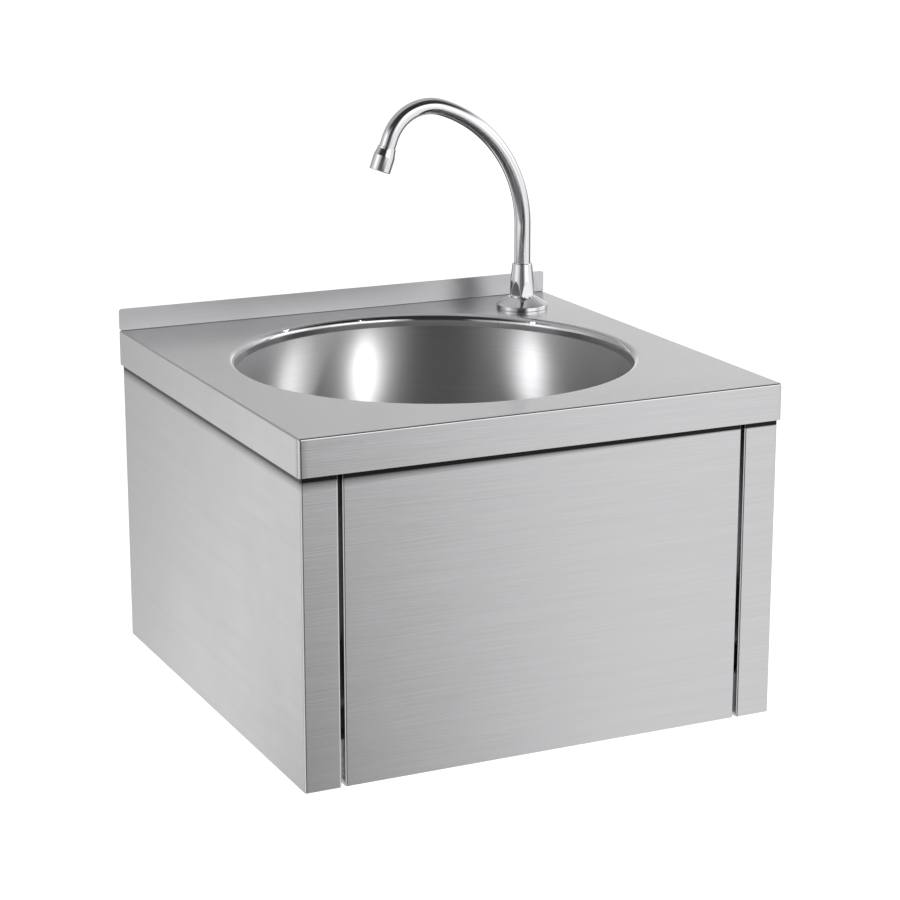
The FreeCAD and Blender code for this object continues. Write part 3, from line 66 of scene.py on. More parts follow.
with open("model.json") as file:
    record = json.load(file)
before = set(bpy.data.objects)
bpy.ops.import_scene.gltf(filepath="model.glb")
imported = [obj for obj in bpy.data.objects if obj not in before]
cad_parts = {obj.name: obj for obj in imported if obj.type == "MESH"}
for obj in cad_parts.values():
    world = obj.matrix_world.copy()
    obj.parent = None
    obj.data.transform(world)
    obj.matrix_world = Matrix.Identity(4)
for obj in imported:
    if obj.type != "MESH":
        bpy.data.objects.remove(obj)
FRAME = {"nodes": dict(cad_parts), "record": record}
CAD_LOW, CAD_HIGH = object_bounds()

DECK_LOW, DECK_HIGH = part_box("deck")
BOWL_LOW, BOWL_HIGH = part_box("bowl")
COLLAR_LOW, COLLAR_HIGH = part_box("tap_collar")
PLATE_LOW, PLATE_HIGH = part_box("escutcheon")
SPRING_LOW, SPRING_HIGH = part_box("valve_spring")
HOSE_LOW, HOSE_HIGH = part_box("outlet_hose")
WASTE_LOW, WASTE_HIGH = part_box("waste_body")
BOWL_MIDDLE = (BOWL_LOW + BOWL_HIGH) / 2
TAP_MIDDLE = (PLATE_LOW + PLATE_HIGH) / 2

# the finish of each material slot of the CAD
SLOT_FINISH = {
    "stainless_sheet": "brushed_sheet", "stainless_bowl": "satin_bowl",
    "stainless_inner": "inner_sheet", "chrome_plate": "chrome_plate",
    "stainless_waste": "polished_waste", "cast_brass": "machined_brass",
    "valve_chrome": "valve_plate", "spring_steel": "spring_wire", "hose_braid": "braided_wire",
    "crimped_steel": "crimped_steel", "black_rubber": "black_rubber", "white_nylon": "white_nylon",
    "knob_plastic": "dark_knob",
}

# ---------------------------------------------------------------- the studio that the metal mirrors
# Rows from below the sink to high above it, each with stops of (azimuth from the front to the right
# in degrees, tone). A row gives way to the next between the two elevations of its step.

STUDIO_BELOW = (
    (-180, .08), (-169, .10), (-164, .38), (-160, .66), (-155, 1.12), (-149, 1.0), (-142, .4),
    (-132, .4), (-115, .7), (-90, .9), (-65, 1.0), (-42, .60), (-26, .45), (-18, .05), (4, .05),
    (11, .42), (18, .62), (22, .80), (27, 1.04), (31, 1.05), (36, 1.0), (60, 1.0), (80, .9),
    (94, .12), (114, .12), (128, .5), (146, .5), (153, .1), (180, .08))
STUDIO_LEVEL = (
    (-180, .45), (-150, .50), (-115, .70), (-90, 1.2), (-72, .8), (-56, .5), (-44, .10), (-16, .10),
    (-5, .6), (5, 1.4), (12, 1.5), (19, 1.5), (29, 1.6), (36, 1.5), (42, 1.1), (52, .9), (70, 1.1),
    (88, 1.2), (104, .8), (120, .5), (138, .7), (147, 1.2), (152, 1.1), (157, .98), (161, .84),
    (166, .60), (180, .45))
STUDIO_MIDDLE = (
    (-180, .40), (-150, .45), (-115, .8), (-90, 1.6), (-72, .8), (-52, .5), (-42, .05), (-14, .05),
    (-5, .7), (4, 2.0), (13, 2.0), (19, 1.8), (29, 1.8), (36, 1.7), (46, 1.3), (54, 1.2), (66, 1.8),
    (88, 1.9), (108, .9), (150, .6), (180, .40))
STUDIO_ABOVE = ((-180, .5), (-125, .5), (-95, .2), (-80, .04), (0, .03), (80, .04), (95, .2),
                (125, .5), (180, .5))
STUDIO_ROOF = 0.2
STUDIO_TOP_TONE = 2.0
STUDIO_STEPS = ((-10, 5), (5, 20), (20, 38), (78, 88))
STUDIO_MATT = 0.75                 # what surfaces that don't mirror get

CAMERA_PLACE = (-0.8341, -1.9890, 0.59636)
KEY_PLACE, KEY_SIZE, KEY_POWER = Vector((0.9, -2.2, 1.9)), 1.6, 20.0
# soft spots that brighten the bowl's wall: azimuth and depth of the place they meet, azimuth and
# elevation that they come from, power
BOWL_SPOTS = ((177.3, 0.043, 26, 42, 44.0), (123.6, 0.036, -99, 45, 36.0),
              (205.0, 0.042, 98, 42, 50.0))
SPOT_REACH, SPOT_CONE, SPOT_SIZE = 1.1, math.radians(3.6), 0.015


# ---------------------------------------------------------------- sizes and colours

def length(name, default, meaning):
    """A size that a user may change."""
    return bpy.props.FloatProperty(name=name, description=meaning, default=default, unit="LENGTH")


def turn(name, degrees, meaning):
    """An angle that a user may change."""
    return bpy.props.FloatProperty(name=name, description=meaning, default=math.radians(degrees),
                                   subtype="ANGLE")


def colour(name, default, meaning):
    """A colour that a user may change."""
    return bpy.props.FloatVectorProperty(name=name, description=meaning, default=default, size=3,
                                         min=0.0, max=1.0, subtype="COLOR")


class SheetSettings(bpy.types.PropertyGroup):
    """The folded sheets: deck, side panels and knee panel."""

    thickness: length("Sheet", 0.001, "Thickness of the sheet")
    bend: length("Bend", 0.0015, "Outer radius of a fold")
    corner: length("Corner", 0.0025, "Ground corner of the deck")
    apron: length("Apron", 0.029, "Folded edge of the deck")
    splash: length("Upstand", 0.0185, "Upstand at the wall")
    fold_line: length("Fold line", 0.0006, "Hollow at the foot of the upstand")
    relief: length("Relief", 0.0013, "Notch where apron and upstand part")
    rim_inner: length("Rim", 0.159, "Inner radius of the rolled rim")
    rim_roll: length("Roll", 0.006, "Radius of the rolled rim")
    lip: length("Lip", 0.010, "Deck top to the end of the rolled lip")
    steel: colour("Steel", (0.60, 0.595, 0.607), "Brushed sheet")


class BowlSettings(bpy.types.PropertyGroup):
    """The drawn bowl and its waste."""

    wall_taper: length("Taper", 0.007, "How much the wall draws in")
    floor_fall: length("Fall", 0.006, "Fall of the floor to the waste")
    floor_radius: length("Floor radius", 0.066, "Radius between wall and floor")
    recess_radius: length("Recess", 0.036, "Recess of the waste")
    recess_depth: length("Recess depth", 0.003, "Depth of that recess")
    waste_hole: length("Waste hole", 0.024, "Hole for the waste")
    steel: colour("Bowl steel", (0.66, 0.655, 0.665), "Satin polished steel")


class TapSettings(bpy.types.PropertyGroup):
    """The swan neck and what carries it."""

    tube: length("Tube", 0.007, "Radius of the swan neck")
    tube_wall: length("Tube wall", 0.001, "Wall of the swan neck")
    rise: length("Rise", 0.0732, "Deck top to the start of the bend")
    wide_bend: length("Wide bend", 0.111, "Rising bend")
    tight_bend: length("Tight bend", 0.0385, "Falling bend")
    nozzle_run: length("Nozzle", 0.0286, "End of the bend to the nozzle's mouth")
    wide_angle: turn("Wide angle", 72.7, "Turn of the rising bend")
    full_angle: turn("Full angle", 160.2, "Turn of both bends")
    chrome: colour("Chrome", (0.46, 0.46, 0.47), "Chrome plate")


class InsideSettings(bpy.types.PropertyGroup):
    """What the casing hides: valve, mixer, hose and hinge."""

    spring_wire: length("Spring wire", 0.0014, "Wire of the return spring")
    spring_turns: bpy.props.FloatProperty(name="Spring turns", default=5.0, min=2.0,
                                          description="Turns of the return spring")
    hose_radius: length("Hose", 0.0065, "Radius of the braided hose")
    hose_bend: length("Hose bend", 0.070, "Bends of the hose")
    hose_strands: bpy.props.IntProperty(name="Strands", default=13, min=6,
                                        description="Strands of the braid each way")
    brass: colour("Brass", (0.66, 0.47, 0.20), "Machined brass")
    rubber: colour("Rubber", (0.025, 0.025, 0.027), "Black rubber")
    nylon: colour("Nylon", (0.78, 0.77, 0.72), "White nylon")
    knob: colour("Knob", (0.035, 0.036, 0.04), "Dark moulded knob")


class StageSettings(bpy.types.PropertyGroup):
    """Camera, floor and light."""

    floor_drop: length("Floor", 0.85, "Deck top above the floor")
    lens: bpy.props.FloatProperty(name="Lens", default=100.70962,
                                  description="Focal length in millimetres")
    azimuth: turn("Azimuth", -25.3245, "Camera, from the front to the right")
    elevation: turn("Elevation", 14.887, "Camera above the horizon")
    floor_white: colour("Floor white", (1.0, 1.0, 1.0), "Floor and background")


# ---------------------------------------------------------------- surfaces

def unit(vectors):
    """Each vector at length 1."""
    return vectors / np.linalg.norm(vectors, axis=-1, keepdims=True)


def rounded(corners, radii, steps=8):
    """A closed outline with arcs at its corners.

    At a corner with incoming direction a, outgoing direction b and turn t, the arc of radius r starts
    r tan(t/2) before the corner and its centre lies r to the side that the outline turns to.
    """
    spots = np.asarray(corners, float)
    radius = np.broadcast_to(np.asarray(radii, float), len(spots))
    into = unit(spots - np.roll(spots, 1, 0))
    out = np.roll(into, -1, 0)
    bend = np.arctan2(into[:, 0] * out[:, 1] - into[:, 1] * out[:, 0], (into * out).sum(1))
    side = np.stack([-into[:, 1], into[:, 0]], 1) * np.sign(bend)[:, None]
    start = spots - into * (radius * np.tan(np.abs(bend) / 2))[:, None]
    angle = np.linspace(0, 1, steps)[None, :] * np.abs(bend)[:, None]
    points = start[:, None] + radius[:, None, None] * (
        np.sin(angle)[..., None] * into[:, None] + (1 - np.cos(angle))[..., None] * side[:, None])
    return points.reshape(-1, 2)


def open_profile(corners, radii, steps=8):
    """The same for an open line: its two ends stay sharp."""
    ends = np.array(radii, float)
    ends[[0, -1]] = 0
    return rounded(corners, ends, steps)[steps - 1:len(corners) * steps - steps + 1]


def arc(across, up, radius, start, end, steps):
    """Points (across + r cos t, up + r sin t) for t from start to end, in degrees."""
    t = np.radians(np.linspace(start, end, steps))
    return np.column_stack([across + radius * np.cos(t), up + radius * np.sin(t)])


def grid(points, wrap_rows=False, wrap_columns=False):
    """Quads over a grid of points: (vertices, faces)."""
    rows, columns = points.shape[:2]
    row, column = np.meshgrid(np.arange(rows - (not wrap_rows)),
                              np.arange(columns - (not wrap_columns)), indexing="ij")
    below, beside = (row + 1) % rows, (column + 1) % columns
    quads = np.stack([row * columns + column, row * columns + beside,
                      below * columns + beside, below * columns + column], -1)
    return points.reshape(-1, 3), quads.reshape(-1, 4).tolist()


def cap(ring):
    """One flat face over a ring of points."""
    return np.asarray(ring, float), [list(range(len(ring)))]


def full_turn(count):
    """Angles round a circle."""
    return np.linspace(0, 2 * math.pi, count, endpoint=False)


def circle_section(radius, count):
    """Points round a circle."""
    angle = full_turn(count)
    return radius * np.column_stack([np.cos(angle), np.sin(angle)])


def lathe(radius, height, count):
    """x = r cos u, y = r sin u, z = h; the radius may change with u as well as with h."""
    angle = full_turn(count)
    radius = radius + 0 * height + 0 * angle
    return np.stack([radius * np.cos(angle), radius * np.sin(angle), height + 0 * radius], -1)


def turned(profile, count):
    """A profile of (radius, height) turned about Z."""
    return lathe(profile[:, :1], profile[:, 1:], count)


def along_path(centres, tangents, section, normal):
    """A section carried along a path: centre + a side + b up, with side = tangent x normal.

    There is one section for the whole path, or one for each of its centres.
    """
    side = unit(np.cross(tangents, normal))
    up = np.cross(side, tangents)
    return centres[:, None] + section[..., :1] * side[:, None] + section[..., 1:] * up[:, None]


def placed(points, centre, rotation=None):
    """Points turned and then moved."""
    if rotation is not None:
        points = points @ np.array(rotation.to_3x3()).T
    return points + np.array(centre)


def piece(name, patches, body, slot, stands_for=(), look=None, crease=32.0):
    """One object from patches of faces: doubles merged, faces outwards, edges kept by angle.

    Its finish is its slot's, or else the look.
    """
    starts = np.cumsum([0] + [len(points) for points, _ in patches])
    points = np.concatenate([points for points, _ in patches])
    faces = [[start + i for i in face] for start, (_, group) in zip(starts, patches)
             for face in group]
    mesh = bpy.data.meshes.new(name)
    mesh.from_pydata(points, [], faces)
    shell = bmesh.new()
    shell.from_mesh(mesh)
    bmesh.ops.remove_doubles(shell, verts=shell.verts, dist=2e-6)
    bmesh.ops.dissolve_degenerate(shell, edges=shell.edges, dist=1e-7)
    bmesh.ops.recalc_face_normals(shell, faces=shell.faces)
    shell.to_mesh(mesh)
    shell.free()
    mesh.shade_smooth()
    mesh.set_sharp_from_angle(angle=math.radians(crease))
    mesh.materials.append(bpy.data.materials[look or SLOT_FINISH[slot]])
    thing = bpy.data.objects.new(name, mesh)
    bpy.context.scene.collection.objects.link(thing)
    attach(thing, body)
    if stands_for:
        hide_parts(*stands_for)
    return thing


def ring_piece(name, shell, body, slot, stands_for=(), **settings):
    """A piece from one grid of points that closes both ways."""
    return piece(name, [grid(shell, wrap_rows=True, wrap_columns=True)], body, slot, stands_for,
                 **settings)


def rod_piece(name, tube, slot, stands_for, crease):
    """A piece of the casing from the skin of a rod, closed at both ends."""
    return piece(name, [grid(tube, wrap_columns=True), cap(tube[0]), cap(tube[-1])], "casing", slot,
                 stands_for, crease=crease)


# ---------------------------------------------------------------- nodes

def new_group(name, **inputs):
    """A shader node group; an input's default is a number or a vector. (group, inputs' sockets)"""
    group = bpy.data.node_groups.new(name, "ShaderNodeTree")
    for label, default in inputs.items():
        kind = "NodeSocketVector" if isinstance(default, tuple) else "NodeSocketFloat"
        socket = group.interface.new_socket(name=label, in_out="INPUT", socket_type=kind)
        socket.default_value = default
    return group, group.nodes.new("NodeGroupInput").outputs


def put_out(group, **values):
    """The group's outputs."""
    for label in values:
        group.interface.new_socket(name=label, in_out="OUTPUT", socket_type="NodeSocketFloat")
    result = group.nodes.new("NodeGroupOutput")
    for label, value in values.items():
        group.links.new(value, result.inputs[label])


def node(tree, kind, inputs=None, **settings):
    """A node with its settings; an input is a number, a colour or another node's socket."""
    made = tree.nodes.new(kind)
    for name, setting in settings.items():
        setattr(made, name, setting)
    for key, given in (inputs or {}).items():
        if isinstance(given, bpy.types.NodeSocket):
            tree.links.new(given, made.inputs[key])
        else:
            made.inputs[key].default_value = given
    return made


def maths(tree, operation, *values, clamp=False):
    """The result of a Math node."""
    return node(tree, "ShaderNodeMath", dict(enumerate(values)), operation=operation,
                use_clamp=clamp).outputs[0]


def plus(tree, first, second):
    """The sum of two values."""
    return maths(tree, "ADD", first, second)


def minus(tree, first, second):
    """The first value less the second."""
    return maths(tree, "SUBTRACT", first, second)


def times(tree, first, second):
    """The product of two values."""
    return maths(tree, "MULTIPLY", first, second)


def vector_maths(tree, operation, *vectors, **inputs):
    """A Vector Math node's outputs."""
    return node(tree, "ShaderNodeVectorMath", {**dict(enumerate(vectors)), **inputs},
                operation=operation).outputs


def mapped(tree, value, source, target=(0.0, 1.0), **settings):
    """A value taken from one range to another and kept inside it."""
    return node(tree, "ShaderNodeMapRange", {
        "Value": value, "From Min": source[0], "From Max": source[1],
        "To Min": target[0], "To Max": target[1]}, **settings).outputs["Result"]


def smooth_step(tree, value, low, high):
    """0 below low, 1 above high, smooth between."""
    return mapped(tree, value, (low, high), interpolation_type="SMOOTHSTEP")


def spread(tree, value, low, high):
    """A noise value, mostly between 0.3 and 0.7, spread from low to high."""
    return mapped(tree, value, (0.3, 0.7), (low, high))


def blend_of(tree, factor, first, second):
    """The first value where the factor is 0, the second where it is 1."""
    return node(tree, "ShaderNodeMix", {"Factor": factor, "A": first, "B": second}).outputs["Result"]


def axes(tree, vector):
    """X, Y and Z of a vector."""
    return node(tree, "ShaderNodeSeparateXYZ", {0: vector}).outputs


def joined(tree, *parts):
    """A vector from its X, Y and Z."""
    return node(tree, "ShaderNodeCombineXYZ", dict(enumerate(parts))).outputs[0]


def own_place(tree):
    """The place on the object."""
    return node(tree, "ShaderNodeTexCoord").outputs["Object"]


def facing(tree):
    """X, Y and Z of the surface's normal."""
    return axes(tree, node(tree, "ShaderNodeNewGeometry").outputs["Normal"])


def noise(tree, vector, detail, scale=1.0, roughness=0.5):
    """The value of a noise texture."""
    return node(tree, "ShaderNodeTexNoise", {"Vector": vector, "Scale": scale, "Detail": detail,
                                             "Roughness": roughness}).outputs["Fac"]


def brushed_grain_group():
    """Straight brushing: noise drawn out along X, or along Y on faces that look sideways.

    Puts out a shade near 1, a roughness offset about 0 and a height from 0 to 1.
    """
    group, given = new_group("brushed_grain", Lines=900.0, Stretch=14.0)
    sideways = maths(group, "GREATER_THAN", maths(group, "ABSOLUTE", facing(group)["X"]), 0.75)
    spot = axes(group, own_place(group))
    along = blend_of(group, sideways, spot["X"], spot["Y"])
    across = blend_of(group, sideways, plus(group, spot["Y"], spot["Z"]), spot["Z"])
    along = times(group, along, given["Stretch"])
    across = times(group, across, given["Lines"])
    fine = noise(group, joined(group, along, across), 3.0, roughness=0.6)
    slow = joined(group, times(group, along, 0.35), times(group, across, 0.12))
    broad = noise(group, slow, 2.0)
    put_out(group, Shade=times(group, spread(group, fine, 0.965, 1.035),
                               spread(group, broad, 0.985, 1.015)),
            Roughness=spread(group, fine, -0.03, 0.03), Height=fine)


def handling_group():
    """Soft marks of handling and dried water: two layers of slow noise.

    Puts out a shade near 1 and a roughness offset.
    """
    group, given = new_group("handling_marks", Size=18.0, Amount=1.0)
    place = own_place(group)
    cloud = noise(group, place, 3.0, given["Size"])
    patchy = noise(group, place, 2.0, times(group, given["Size"], 4.3))
    mixed = times(group, cloud, plus(group, patchy, 0.5))
    swing = times(group, minus(group, mixed, 0.5), given["Amount"])
    put_out(group, Shade=plus(group, 1.0, times(group, swing, 0.06)),
            Roughness=times(group, swing, 0.10))


def polish_rings_group():
    """Fine rings left by polishing on a lathe: noise of the distance from an upright axis.

    Puts out a shade near 1 and a height from 0 to 1.
    """
    group, given = new_group("polish_rings", Centre=(0.0, 0.0, 0.0), Rings=900.0)
    local = vector_maths(group, "SUBTRACT", own_place(group), given["Centre"])
    spot = axes(group, local["Vector"])
    flat = joined(group, spot["X"], spot["Y"])
    radius = vector_maths(group, "LENGTH", flat)["Value"]
    ring = times(group, minus(group, radius, times(group, spot["Z"], 1.1)), given["Rings"])
    fine = noise(group, joined(group, ring, times(group, spot["X"], 6.0),
                               times(group, spot["Y"], 6.0)), 2.0)
    put_out(group, Shade=spread(group, fine, 0.97, 1.03), Height=fine)


def apron_painted_shadow_group():
    """Painted shadow under the deck's apron, where it overhangs a wall: a dark band just below the
    apron's edge, soft on the left and thin on the right.

    Puts out a shade: small just below the level, rising to 1 further down, and 1 above it.
    """
    group, given = new_group("apron_painted_shadow", Level=0.0, Dark=0.0038)
    spot = axes(group, own_place(group))
    below = minus(group, given["Level"], spot["Z"])
    soft = mapped(group, spot["X"], (-0.2, 0.15), (0.0075, 0.0012))
    rise = maths(group, "DIVIDE", minus(group, below, given["Dark"]), soft, clamp=True)
    shade = plus(group, 0.03, times(group, maths(group, "POWER", rise, 0.6), 0.97))
    put_out(group, Shade=maths(group, "MAXIMUM", shade, maths(group, "LESS_THAN", below, 0.0)))


def fold_polish_group():
    """Where a sheet bends: 1 on folds and on the rolled rim, 0 on the flats, from the largest part of
    the normal."""
    group, _ = new_group("fold_polish")
    normal = facing(group)
    sizes = [maths(group, "ABSOLUTE", normal[axis]) for axis in "XYZ"]
    largest = maths(group, "MAXIMUM", maths(group, "MAXIMUM", sizes[0], sizes[1]), sizes[2])
    put_out(group, Mask=minus(group, 1.0, smooth_step(group, largest, 0.95, 0.995)))


def azimuth_ramp(tree, share, stops):
    """A tone by azimuth: stops are (degrees, tone), and share is the azimuth from 0 to 1."""
    ramp = node(tree, "ShaderNodeValToRGB", {0: share})
    ramp.color_ramp.interpolation = "EASE"
    elements = ramp.color_ramp.elements
    for _ in stops[2:]:
        elements.new(0.5)
    for element, (degrees, tone) in zip(elements, stops):
        element.position = (degrees + 180) / 360
        element.color = (*[tone / STUDIO_TOP_TONE] * 3, 1.0)
    return times(tree, ramp.outputs["Color"], STUDIO_TOP_TONE)


def studio_tone_group():
    """How bright the studio is in a direction: rows of light panels and dark gaps by azimuth, from
    below the sink to high above it, and a dim roof."""
    group, given = new_group("studio_tone", Direction=(0.0, 0.0, 1.0))
    spot = axes(group, vector_maths(group, "NORMALIZE", given["Direction"])["Vector"])
    azimuth = maths(group, "ARCTAN2", spot["X"], times(group, spot["Y"], -1.0))
    share = plus(group, maths(group, "DIVIDE", azimuth, 2 * math.pi), 0.5)
    elevation = times(group, maths(group, "ARCSINE", spot["Z"]), 180 / math.pi)
    tone, *rows = (azimuth_ramp(group, share, stops)
                   for stops in (STUDIO_BELOW, STUDIO_LEVEL, STUDIO_MIDDLE, STUDIO_ABOVE))
    for row, (low, high) in zip(rows + [STUDIO_ROOF], STUDIO_STEPS):
        tone = blend_of(group, smooth_step(group, elevation, low, high), tone, row)
    put_out(group, Tone=tone)


# ---------------------------------------------------------------- materials

def new_material(name, base, roughness, metallic=1.0, **sockets):
    """A Principled material with uniform values on its own sockets: (node tree, shader)."""
    material = bpy.data.materials.new(name)
    material.use_nodes = True
    shader = material.node_tree.nodes["Principled BSDF"]
    shader.inputs["Base Color"].default_value = (*base, 1.0)
    shader.inputs["Metallic"].default_value = metallic
    shader.inputs["Roughness"].default_value = roughness
    for label, setting in sockets.items():
        shader.inputs[label.replace("_", " ")].default_value = setting
    material.diffuse_color = (*base, 1.0)
    return material.node_tree, shader


def add_group(tree, name, **values):
    """A shared group placed in a material with its own values."""
    used = node(tree, "ShaderNodeGroup", node_tree=bpy.data.node_groups[name])
    for label, setting in values.items():
        used.inputs[label].default_value = setting
    return used.outputs


def dress(tree, shader, base, shade, rough, height=None, bump=0.0):
    """Colour, roughness and bump that change over the surface."""
    tint = vector_maths(tree, "SCALE", base, Scale=shade)["Vector"]
    tree.links.new(tint, shader.inputs["Base Color"])
    tree.links.new(rough, shader.inputs["Roughness"])
    if height is not None:
        raised = node(tree, "ShaderNodeBump", {"Height": height, "Strength": bump,
                                               "Distance": 0.0002})
        tree.links.new(raised.outputs["Normal"], shader.inputs["Normal"])


def sheet_material(name, base, roughness, bump, lines=900.0, apron_shadow_level=None, **sockets):
    """Brushed sheet: grain and handling marks in colour, roughness and height, and polished folds;
    with a level given, that of the apron's edge above it, a painted shadow darkens the colour below
    it."""
    tree, shader = new_material(name, base, roughness, **sockets)
    grain = add_group(tree, "brushed_grain", Lines=lines)
    marks = add_group(tree, "handling_marks", Size=9.0, Amount=1.0)
    shade = times(tree, grain["Shade"], marks["Shade"])
    # painted shadow: the colour is darker just below the apron's edge, where the apron's shade falls
    if apron_shadow_level is not None:
        shade = times(tree, shade, add_group(tree, "apron_painted_shadow", Level=apron_shadow_level)["Shade"])
    fold = add_group(tree, "fold_polish")["Mask"]
    uneven = plus(tree, grain["Roughness"], marks["Roughness"])
    dress(tree, shader, base, plus(tree, shade, times(tree, fold, 0.12)),
          blend_of(tree, fold, plus(tree, roughness, uneven), 0.07),
          times(tree, grain["Height"], minus(tree, 1.0, fold)), bump)


def ringed_material(name, base, roughness, rings=900.0, bump=0.03, **sockets):
    """Turned or drawn steel: polishing rings about the bowl's axis, and handling marks."""
    tree, shader = new_material(name, base, roughness, **sockets)
    polish = add_group(tree, "polish_rings", Centre=(BOWL_MIDDLE.x, BOWL_MIDDLE.y, 0.0),
                       Rings=rings)
    marks = add_group(tree, "handling_marks", Size=14.0, Amount=0.8)
    dress(tree, shader, base, times(tree, polish["Shade"], marks["Shade"]),
          plus(tree, roughness, marks["Roughness"]), polish["Height"], bump)


def marked_material(name, base, roughness, size, amount, metallic=1.0, **sockets):
    """A plain finish with handling marks alone, for plated, cast and moulded pieces."""
    tree, shader = new_material(name, base, roughness, metallic, **sockets)
    marks = add_group(tree, "handling_marks", Size=size, Amount=amount)
    dress(tree, shader, base, marks["Shade"],
          maths(tree, "MAXIMUM", 0.02, plus(tree, roughness, marks["Roughness"])))


# ---------------------------------------------------------------- operators

class SINK_OT_finishes(bpy.types.Operator):
    """Make the shared node groups and every material"""

    bl_idname = "sink.finishes"
    bl_label = "Finishes"

    def execute(self, context):
        inside = context.scene.sink_inside
        steel, satin = tuple(context.scene.sink_sheet.steel), tuple(context.scene.sink_bowl.steel)
        chrome = tuple(context.scene.sink_tap.chrome)
        for make_group in (brushed_grain_group, handling_group, polish_rings_group,
                           studio_tone_group, apron_painted_shadow_group, fold_polish_group):
            make_group()
        drawn = {"Anisotropic": 0.9, "Anisotropic_Rotation": 0.25}
        sheet_material("brushed_sheet", steel, 0.22, bump=0.5)
        # the casing's panels get a painted shadow just below the deck's apron
        sheet_material("casing_sheet_painted_shadow", steel, 0.22, bump=0.5, apron_shadow_level=DECK_LOW.z)
        sheet_material("upstand_sheet", steel, 0.40, bump=0.3, **drawn)
        sheet_material("inner_sheet", tuple(0.9 * c for c in steel), 0.42, lines=500.0, bump=0.1)
        ringed_material("satin_bowl", satin, 0.42, **drawn)
        ringed_material("polished_waste", satin, 0.16, rings=1600.0)
        marked_material("chrome_plate", chrome, 0.035, 60.0, 0.4,
                        Specular_Tint=(0.03, 0.03, 0.03, 1.0))
        for name, base, roughness, size, amount in (
                ("valve_plate", chrome, 0.12, 60.0, 1.0),
                ("machined_brass", tuple(inside.brass), 0.28, 120.0, 2.0),
                ("spring_wire", (0.42, 0.42, 0.44), 0.25, 200.0, 1.0),
                ("braided_wire", (0.55, 0.55, 0.57), 0.3, 200.0, 2.0),
                ("crimped_steel", (0.62, 0.62, 0.63), 0.22, 120.0, 1.0)):
            marked_material(name, base, roughness, size, amount)
        for name, base, roughness, amount in (
                ("black_rubber", inside.rubber, 0.62, 2.0),
                ("white_nylon", inside.nylon, 0.42, 1.0), ("dark_knob", inside.knob, 0.38, 2.0)):
            marked_material(name, tuple(base), roughness, 150.0, amount, metallic=0.0)
        return {"FINISHED"}


class SINK_OT_carried_over(bpy.types.Operator):
    """Give every piece that keeps its own shape the finish of its slot"""

    bl_idname = "sink.carried_over"
    bl_label = "Carried-over pieces"

    def execute(self, context):
        for part in FRAME["record"]["subparts"]:
            name = SLOT_FINISH[part["material_slot"]]
            if part["node"].startswith(("side_panel", "knee_panel")):
                name = "casing_sheet_painted_shadow"
            for slot in FRAME["nodes"][part["node"]].material_slots:
                slot.material = bpy.data.materials[name]
        return {"FINISHED"}


